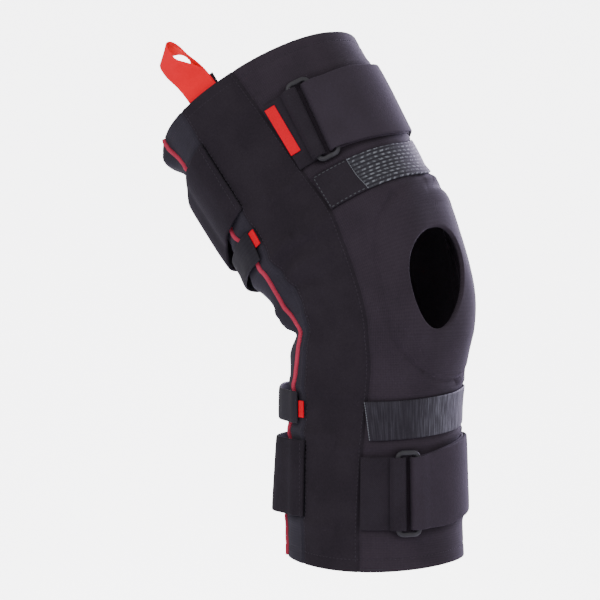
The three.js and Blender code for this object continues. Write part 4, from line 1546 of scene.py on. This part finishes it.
@dataclass(frozen=True)
class RimFrame:
    """Directions at a turn of the upper rim, for the pieces that are sewn inside it."""

    turn: float
    width: float
    wall: float
    root_depth: float
    gap: float = 0.3

    def axes(self) -> tuple[Points, Points, Points]:
        """The ways up the leg, out of it and around it."""
        _, lean = LEG.centre(np.array(LEG.thigh_length))
        out = LEG.outward(np.array(self.turn), lean)
        lean_x, lean_y = LEG.lean_direction()
        up = np.array([lean_x * np.sin(lean), lean_y * np.sin(lean), np.cos(lean)])
        around = np.cross(out, up)
        return up, out, around / np.linalg.norm(around)

    def root(self) -> Points:
        """The place on the sleeve's inner face at the rim."""
        return LEG.skin(LEG.rim(np.array(self.turn)), np.array(self.turn), -self.wall)

    def inside(self) -> float:
        """How far inside the root the width clears the sleeve's curved inner face."""
        _, out, _ = self.axes()
        side = float(LEG.turn_of(self.width / 2, LEG.thigh_length, self.turn))
        low = float(LEG.rim(np.array(self.turn))) - self.root_depth
        depths = [
            float((LEG.skin(np.array(low), np.array(at), -self.wall) - self.root()) @ out)
            for at in (self.turn - side, self.turn, self.turn + side)
        ]
        return -min(0.0, *depths) + self.gap


@dataclass
class PullLoop:
    """The red webbing loop on the upper rim and the small black tab behind it."""

    turn: float = 83.5
    width: float = 24.0
    height: float = 42.0
    opening: float = 15.0
    shoulder: float = 21.0
    arch_share: float = 0.6
    opens: float = 10.5
    fully_open: float = 29.4
    near_twist: float = -34.0
    far_twist: float = -64.0
    twist_share: float = 0.45
    lean: float = 10.0
    lean_start: float = 8.0
    root_depth: float = 12.0
    thickness: float = 1.2
    wall: float = 3.0
    gap: float = 0.3
    steps: int = 96
    tab_shift: float = -5.5
    tab_width: float = 15.0
    tab_height: float = 10.0

    def build(self) -> None:
        """Builds and dresses the loop and the tab."""
        frame = RimFrame(self.turn, self.width, self.wall, self.root_depth)
        self.loop(frame)
        self.tab(frame)

    def loop(self, frame: RimFrame) -> None:
        """The loop: two layers that part above the rim, twist and close in an arch."""
        up, out, around = frame.axes()
        layer = (self.thickness + self.gap) / 2
        inset = frame.inside() + layer + self.thickness / 2
        share = np.linspace(-1, 1, self.steps + 1)
        down = np.abs(share)
        arch = np.minimum(down / self.arch_share, 1)
        below = (down - self.arch_share) / (1 - self.arch_share)
        straight = self.shoulder + below * (-self.root_depth - self.shoulder)
        round_top = self.shoulder + (self.height - self.shoulder) * np.sqrt(1 - arch**2)
        height = np.where(down > self.arch_share, straight, round_top)
        openness = smooth_step(self.opens, self.fully_open, height)
        half_open = self.opening / 2 * np.sin(np.pi / 2 * arch)
        spread = np.sign(share) * (layer * (1 - openness) + half_open * openness)
        far_side = smooth_step(-self.twist_share, self.twist_share, share)
        twist = np.radians(self.near_twist + (self.far_twist - self.near_twist) * far_side) * openness
        across = np.cos(twist)[:, None] * around + np.sin(twist)[:, None] * out
        apart = np.cross(across, up)
        apart = apart / np.linalg.norm(apart, axis=1)[:, None]
        middle = frame.root() - out * inset + height[:, None] * up + spread[:, None] * apart
        above = np.maximum(height, 0)
        leant = math.tan(math.radians(self.lean)) * above**2 / (above + self.lean_start)
        middle = middle + leant[:, None] * around
        length = np.concatenate([[0], np.cumsum(np.linalg.norm(np.diff(middle, axis=0), axis=1))])
        even = np.linspace(0, length[-1], self.steps + 1)
        middle = np.stack([np.interp(even, length, middle[:, k]) for k in range(3)], axis=-1)
        across = np.stack([np.interp(even, length, across[:, k]) for k in range(3)], axis=-1)

        def place(side: np.ndarray, along: np.ndarray) -> tuple[Points, np.ndarray]:
            """Points of the loop's middle face."""
            index = np.rint(along * self.steps).astype(int)
            offset = (side - 0.5) * self.width
            points = middle[index] + across[index] * offset[:, None]
            return points, np.stack([even[index], offset], axis=-1)

        piece = grid_piece("red_pull_loop", 18, self.steps, place)
        thicken(piece, self.thickness, 0.0, LOOP_EDGE)
        settle(piece, ["pull_loop"], LOOP_CLOTH)
        flat = (self.width * MM, float(length[-1]) * MM)

    def tab(self, frame: RimFrame) -> None:
        """The flat tab just inside the loop's feet."""
        up, out, around = frame.axes()
        inset = frame.inside() + 2 * self.thickness + 2 * self.gap + self.thickness / 2

        def place(high: np.ndarray, across: np.ndarray) -> tuple[Points, np.ndarray]:
            """Points of the tab's middle face."""
            height = -self.root_depth + (self.tab_height + self.root_depth) * high
            side = self.tab_shift + self.tab_width * (across - 0.5)
            points = frame.root() - out * inset + height[:, None] * up + side[:, None] * around
            return points, np.stack([height, side], axis=-1)

        piece = grid_piece("black_rim_tab", 22, 15, place)
        thicken(piece, self.thickness, 0.0, LOOP_EDGE)
        size = (self.tab_height + self.root_depth, self.tab_width)
        sew_on(settle(piece, ["rim_tab"], WEBBING), size)


@dataclass
class Trim:
    """The red tabs beside the outer back seam and the bare red label beside the front seam."""

    gap: float = 0.3
    layer_gap: float = 0.6
    tab_width: float = 5.6
    tab_length: float = 11.0
    tab_thickness: float = 1.0
    tab_shift: float = 5.3
    tab_turn: float = 100.0
    upper_tab_rise: float = 3.6
    label_station: float = 107.8
    label_length: float = 34.6
    label_width: float = 7.0
    label_lift: float = 2.5
    label_thickness: float = 0.8

    def build(self) -> None:
        """Builds and dresses the tabs and the label."""
        choices = (("upper", UPPER_ELASTIC, self.upper_tab_rise), ("lower", LOWER_ELASTIC, 0.0))
        for word, band, above in choices:
            station = float(band.middle(np.array(self.tab_turn))) + above
            turn = seam_end("back", self.tab_width / 2 + self.gap - self.tab_shift, station)
            size = (self.tab_length, self.tab_width)
            name = f"{word}_red_patch"
            tab = patch_piece(name, station, turn, size, self.layer_gap, self.tab_thickness)
            settle(tab, [f"{word}_red_tab"], RED_CLOTH)
        turn = seam_end("front", self.label_width / 2 + self.gap, self.label_station)
        size = (self.label_length, self.label_width)
        label = patch_piece(
            "bare_red_label", self.label_station, turn, size, self.label_lift, self.label_thickness
        )
        settle(label, ["label"], RED_CLOTH)


@dataclass(frozen=True)
class Stitch:
    """A stitch's length, half its width, how flat it lies and its row's pitch, in millimetres."""

    length: float
    half_width: float
    pitch: float
    flatness: float = 0.7


SEAM_STITCH = Stitch(length=1.9, half_width=0.36, pitch=2.7)
TAB_STITCH = Stitch(length=2.0, half_width=0.4, pitch=2.9)
EDGE_STITCH = Stitch(length=1.6, half_width=0.4, pitch=1.5)


@dataclass(frozen=True)
class StitchLine:
    """A row of stitches: where it runs, the way out of the cloth there, and its stitch."""

    points: Points
    normals: Points
    stitch: Stitch = SEAM_STITCH


@dataclass
class Stitching:
    """The rows of stitches beside the seams, along the rims and round the tabs."""

    beside: float = 2.3
    short: float = 2.0
    strap_short: float = 1.5
    strap_turn: float = 1.2
    tab_inset: float = 1.0
    tab_far: float = 1.2
    tab_near: float = 24.0
    tab_lift: float = 2.0
    join: float = 25.2
    band_end: float = 0.7
    band_end_half: float = 12.4
    edge_lift: float = 2.1
    sleeve_lift: float = 0.05
    samples: int = 60

    def build(self) -> None:
        """Builds and dresses every row."""
        self.rows("seam_stitches", self.seam_rows() + self.strap_rows(), DARK_THREAD)
        self.rows("hem_stitches", self.hem_rows(), DARK_THREAD)
        self.rows("tab_stitches", self.tab_rows(), GREY_THREAD)
        self.rows("edge_stitches", self.edge_rows(), PALE_THREAD)

    def seam_rows(self) -> list[StitchLine]:
        """Rows on the side panels, beside every front and back seam."""
        rows = []
        stations = np.linspace(-LEG.calf_length + self.short, LEG.thigh_length - self.short, 400)
        for side in (1, -1):
            for name, away in (("front", self.beside), ("back", -self.beside)):
                seam = LEG.seam(name, stations)
                turns = side * (seam + LEG.turn_of(away, stations, seam))
                rows.append(self.on_sleeve(stations, turns))
        return rows

    def strap_rows(self) -> list[StitchLine]:
        """Rows that hold the straps to the outer back seam."""
        rows = []
        for band in (UPPER_STRAP, LOWER_STRAP):
            seam = float(LEG.seam("back", band.station))
            middle = float(band.middle(np.array(seam)))
            half = band.width / 2 - self.strap_short
            stations = np.linspace(middle - half, middle + half, 80)
            turns = LEG.seam("back", stations) + self.strap_turn
            lift = float(band.lift(np.array(seam + self.strap_turn), seam)) + band.thickness / 2
            points = LEG.skin(stations, turns, lift)
            rows.append(StitchLine(points, self.normals(stations, turns)))
        return rows

    def hem_rows(self) -> list[StitchLine]:
        """Rows around both rims."""
        turns = np.linspace(-180, 180, 721)
        low, high = LEG.foot(turns) + RELIEF.lower_hem, LEG.rim(turns) - RELIEF.upper_hem
        return [self.on_sleeve(low, turns), self.on_sleeve(high, turns)]

    def tab_rows(self) -> list[StitchLine]:
        """Rows just inside the edges of the hook tab."""
        station = UPPER_ELASTIC.station
        far = seam_end("front", self.tab_far, station)
        near = seam_end("front", self.tab_near, station)
        half = UPPER_ELASTIC.width / 2 - self.tab_inset
        low, high = station - half, station + half
        corners = [(low, near), (low, far), (high, far), (high, near)]
        rows = []
        for (s0, t0), (s1, t1) in zip(corners, corners[1:]):
            stations = np.linspace(s0, s1, self.samples)
            turns = np.linspace(t0, t1, self.samples)
            points = LEG.skin(stations, turns, self.tab_lift)
            normals = self.normals(stations, turns)
            rows.append(StitchLine(points, normals, TAB_STITCH))
        return rows

    def edge_rows(self) -> list[StitchLine]:
        """Overcast edges where the hook tab meets its band and where the lower band ends."""
        station = UPPER_ELASTIC.station
        half = UPPER_ELASTIC.width / 2
        stations = np.linspace(station - half, station + half, self.samples)
        turns = np.full(self.samples, seam_end("front", self.join, station))
        low_end, half = LOWER_ELASTIC.station + LOWER_ELASTIC.end, self.band_end_half
        low_stations = np.linspace(low_end - half, low_end + half, self.samples)
        low_turn = seam_end("front", self.band_end, LOWER_ELASTIC.station)
        low_turns = low_turn + LOWER_END_SLANT * (low_stations - low_end)
        rows = []
        for at, turn in ((stations, turns), (low_stations, low_turns)):
            points = LEG.skin(at, turn, self.edge_lift)
            rows.append(StitchLine(points, self.normals(at, turn), EDGE_STITCH))
        return rows

    def on_sleeve(self, stations: np.ndarray, turns: np.ndarray) -> StitchLine:
        """A row that lies on the sleeve's cloth."""
        points = sleeve_skin(stations, turns, self.sleeve_lift)
        return StitchLine(points, self.normals(stations, turns))

    def normals(self, stations: np.ndarray, turns: np.ndarray) -> Points:
        """The way out of the sleeve at places."""
        _, lean = LEG.centre(stations)
        return LEG.outward(turns, lean)

    def rows(self, name: str, lines: list[StitchLine], finish: Cloth) -> None:
        """One mesh of all the stitches of some rows.

        Args:
            name: the piece's name.
            lines: the rows.
            finish: the thread.
        """
        deselect_all()
        bpy.ops.mesh.primitive_uv_sphere_add(segments=6, ring_count=4, radius=1.0)
        piece = named(bpy.context.object, name)
        unit = points_of(piece.data)
        faces = [list(face.vertices) for face in piece.data.polygons]
        bodies = [self.stitches(line, unit) for line in lines]
        points = np.concatenate(bodies)
        count = len(points) // len(unit)
        all_faces = [[v + k * len(unit) for v in face] for k in range(count) for face in faces]
        piece.data.clear_geometry()
        piece.data.from_pydata((points * MM).tolist(), [], all_faces)
        move_points(piece.data, points, points[:, :2])
        smooth(piece)
        settle(piece, [], finish)

    def stitches(self, line: StitchLine, unit: Points) -> Points:
        """The points of one row's stitches."""
        stitch = line.stitch
        steps = np.linalg.norm(np.diff(line.points, axis=0), axis=1)
        length = np.concatenate([[0], np.cumsum(steps)])
        count = max(1, int(length[-1] // stitch.pitch))
        middle = (np.arange(count) + 0.5) * length[-1] / count
        ends = np.stack([middle - stitch.length / 2, middle + stitch.length / 2])
        first, last, centre, normal = (
            np.stack([np.interp(at, length, values[:, k]) for k in range(3)], axis=-1)
            for at, values in (
                (ends[0], line.points),
                (ends[1], line.points),
                (middle, line.points),
                (middle, line.normals),
            )
        )
        along = last - first
        along /= np.linalg.norm(along, axis=1)[:, None]
        side = np.cross(normal, along)
        side /= np.linalg.norm(side, axis=1)[:, None]
        out = np.cross(along, side)
        x, y, z = unit[:, 0], unit[:, 1], unit[:, 2]
        body = (
            centre[:, None, :]
            + along[:, None, :] * (z * stitch.length / 2)[None, :, None]
            + side[:, None, :] * (x * stitch.half_width)[None, :, None]
            + out[:, None, :] * (y * stitch.half_width * stitch.flatness)[None, :, None]
        )
        return body.reshape(-1, 3)


@dataclass
class Studio:
    """The floor, the lights and the camera, in metres and degrees."""

    floor_height: float = -0.62
    floor_size: float = 60.0
    surround_light: float = 0.9
    backdrop_distance: float = 2.0
    backdrop_size: float = 1.22
    backdrop_light: float = 4.5
    azimuth: float = -50.0
    elevation: float = 1.5
    distance: float = 1.26
    focal: float = 112.84
    shift_right: float = -0.04891
    shift_up: float = -0.00268

    def build(self) -> None:
        """Builds the studio."""
        self.floor()
        self.backdrop()
        self.world()
        self.lights()
        self.camera()

    def back_vector(self, azimuth: float, elevation: float) -> Vector:
        """The way from the object to a camera or a light."""
        a, e = math.radians(azimuth), math.radians(elevation)
        return Vector((math.sin(a) * math.cos(e), -math.cos(a) * math.cos(e), math.sin(e)))

    def floor(self) -> None:
        """A wide pale floor."""
        deselect_all()
        bpy.ops.mesh.primitive_plane_add(size=1.0)
        floor = named(bpy.context.object, "pale_floor")
        points = points_of(floor.data) * self.floor_size
        points[:, 2] = self.floor_height
        floor.data.vertices.foreach_set("co", points.ravel())
        floor.data.update()
        nodes = Nodes("pale_floor")
        nodes.feed("Base Color", (0.9, 0.9, 0.91, 1.0))
        nodes.feed("Roughness", 0.9)
        floor.data.materials.append(nodes.made)

    def backdrop(self) -> None:
        """A white lit panel behind the object, square to the camera."""
        deselect_all()
        bpy.ops.mesh.primitive_plane_add(size=self.backdrop_size)
        panel = named(bpy.context.object, "white_backdrop")
        back = self.back_vector(self.azimuth, 0)
        up = Vector((0, 0, 1))
        right, far = up.cross(back), back * self.backdrop_distance
        placed = [right * x + up * y - far for x, y, _ in points_of(panel.data)]
        panel.data.vertices.foreach_set("co", np.array(placed).ravel())
        panel.data.update()
        nodes = Nodes("white_backdrop")
        nodes.feed("Base Color", (0.9, 0.9, 0.9, 1.0))
        nodes.feed("Emission Color", (1.0, 1.0, 1.0, 1.0))
        nodes.feed("Emission Strength", self.backdrop_light)
        panel.data.materials.append(nodes.made)

    def world(self) -> None:
        """A plain white surround."""
        world = bpy.data.worlds.new("white_surround")
        world.use_nodes = True
        background = world.node_tree.nodes["Background"]
        background.inputs["Color"].default_value = (1.0, 1.0, 1.0, 1.0)
        background.inputs["Strength"].default_value = self.surround_light
        bpy.context.scene.world = world

    def lights(self) -> None:
        """A soft key light, a fill and a rim light from behind on the right."""
        self.area("key_light", azimuth=-75, elevation=35, distance=1.6, size=0.9, power=10)
        self.area("fill_light", azimuth=-10, elevation=15, distance=1.8, size=1.2, power=4)
        self.area("rim_light", azimuth=95, elevation=15, distance=1.5, size=0.8, power=75, tint=0xE2D6F8)

    def area(
        self,
        name: str,
        azimuth: float,
        elevation: float,
        distance: float,
        size: float,
        power: float,
        tint: int = 0xFFFFFF,
    ) -> None:
        """A square area light that faces the object."""
        back = self.back_vector(azimuth, elevation)
        light = bpy.data.lights.new(name, "AREA")
        light.shape = "SQUARE"
        light.size = size
        light.energy = power
        light.color = linear(tint)[:3]
        lamp = bpy.data.objects.new(name, light)
        lamp.location = back * distance
        lamp.rotation_euler = back.to_track_quat("Z", "Y").to_euler()
        bpy.context.scene.collection.objects.link(lamp)

    def camera(self) -> None:
        """The camera at the photo's place."""
        back = self.back_vector(self.azimuth, self.elevation)
        right = Vector((0, 0, 1)).cross(back).normalized()
        up = back.cross(right)
        lens = bpy.data.cameras.new("photo_camera")
        lens.lens = self.focal
        lens.sensor_width = 36.0
        lens.clip_start = 0.05
        camera = bpy.data.objects.new("photo_camera", lens)
        turned = Matrix((right, up, back)).transposed()
        camera.matrix_world = turned.to_4x4()
        camera.location = back * self.distance + right * self.shift_right + up * self.shift_up
        bpy.context.scene.collection.objects.link(camera)
        bpy.context.scene.camera = camera


def main() -> None:
    """Builds the knee stabilizer around the frame, and the studio."""
    logging.basicConfig(level=logging.INFO, format="%(message)s")
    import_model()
    Sleeve().build()
    Piping().build()
    StrapSet("upper", UPPER_STRAP, ring_turn=39.0, ring_length=57.0, tilt=-0.08).build()
    StrapSet("lower", LOWER_STRAP, ring_turn=33.0, ring_length=55.5).build()
    ElasticBands().build()
    Trim().build()
    PullLoop().build()
    Stitching().build()
    Studio().build()


if __name__ == "__main__":
    main()
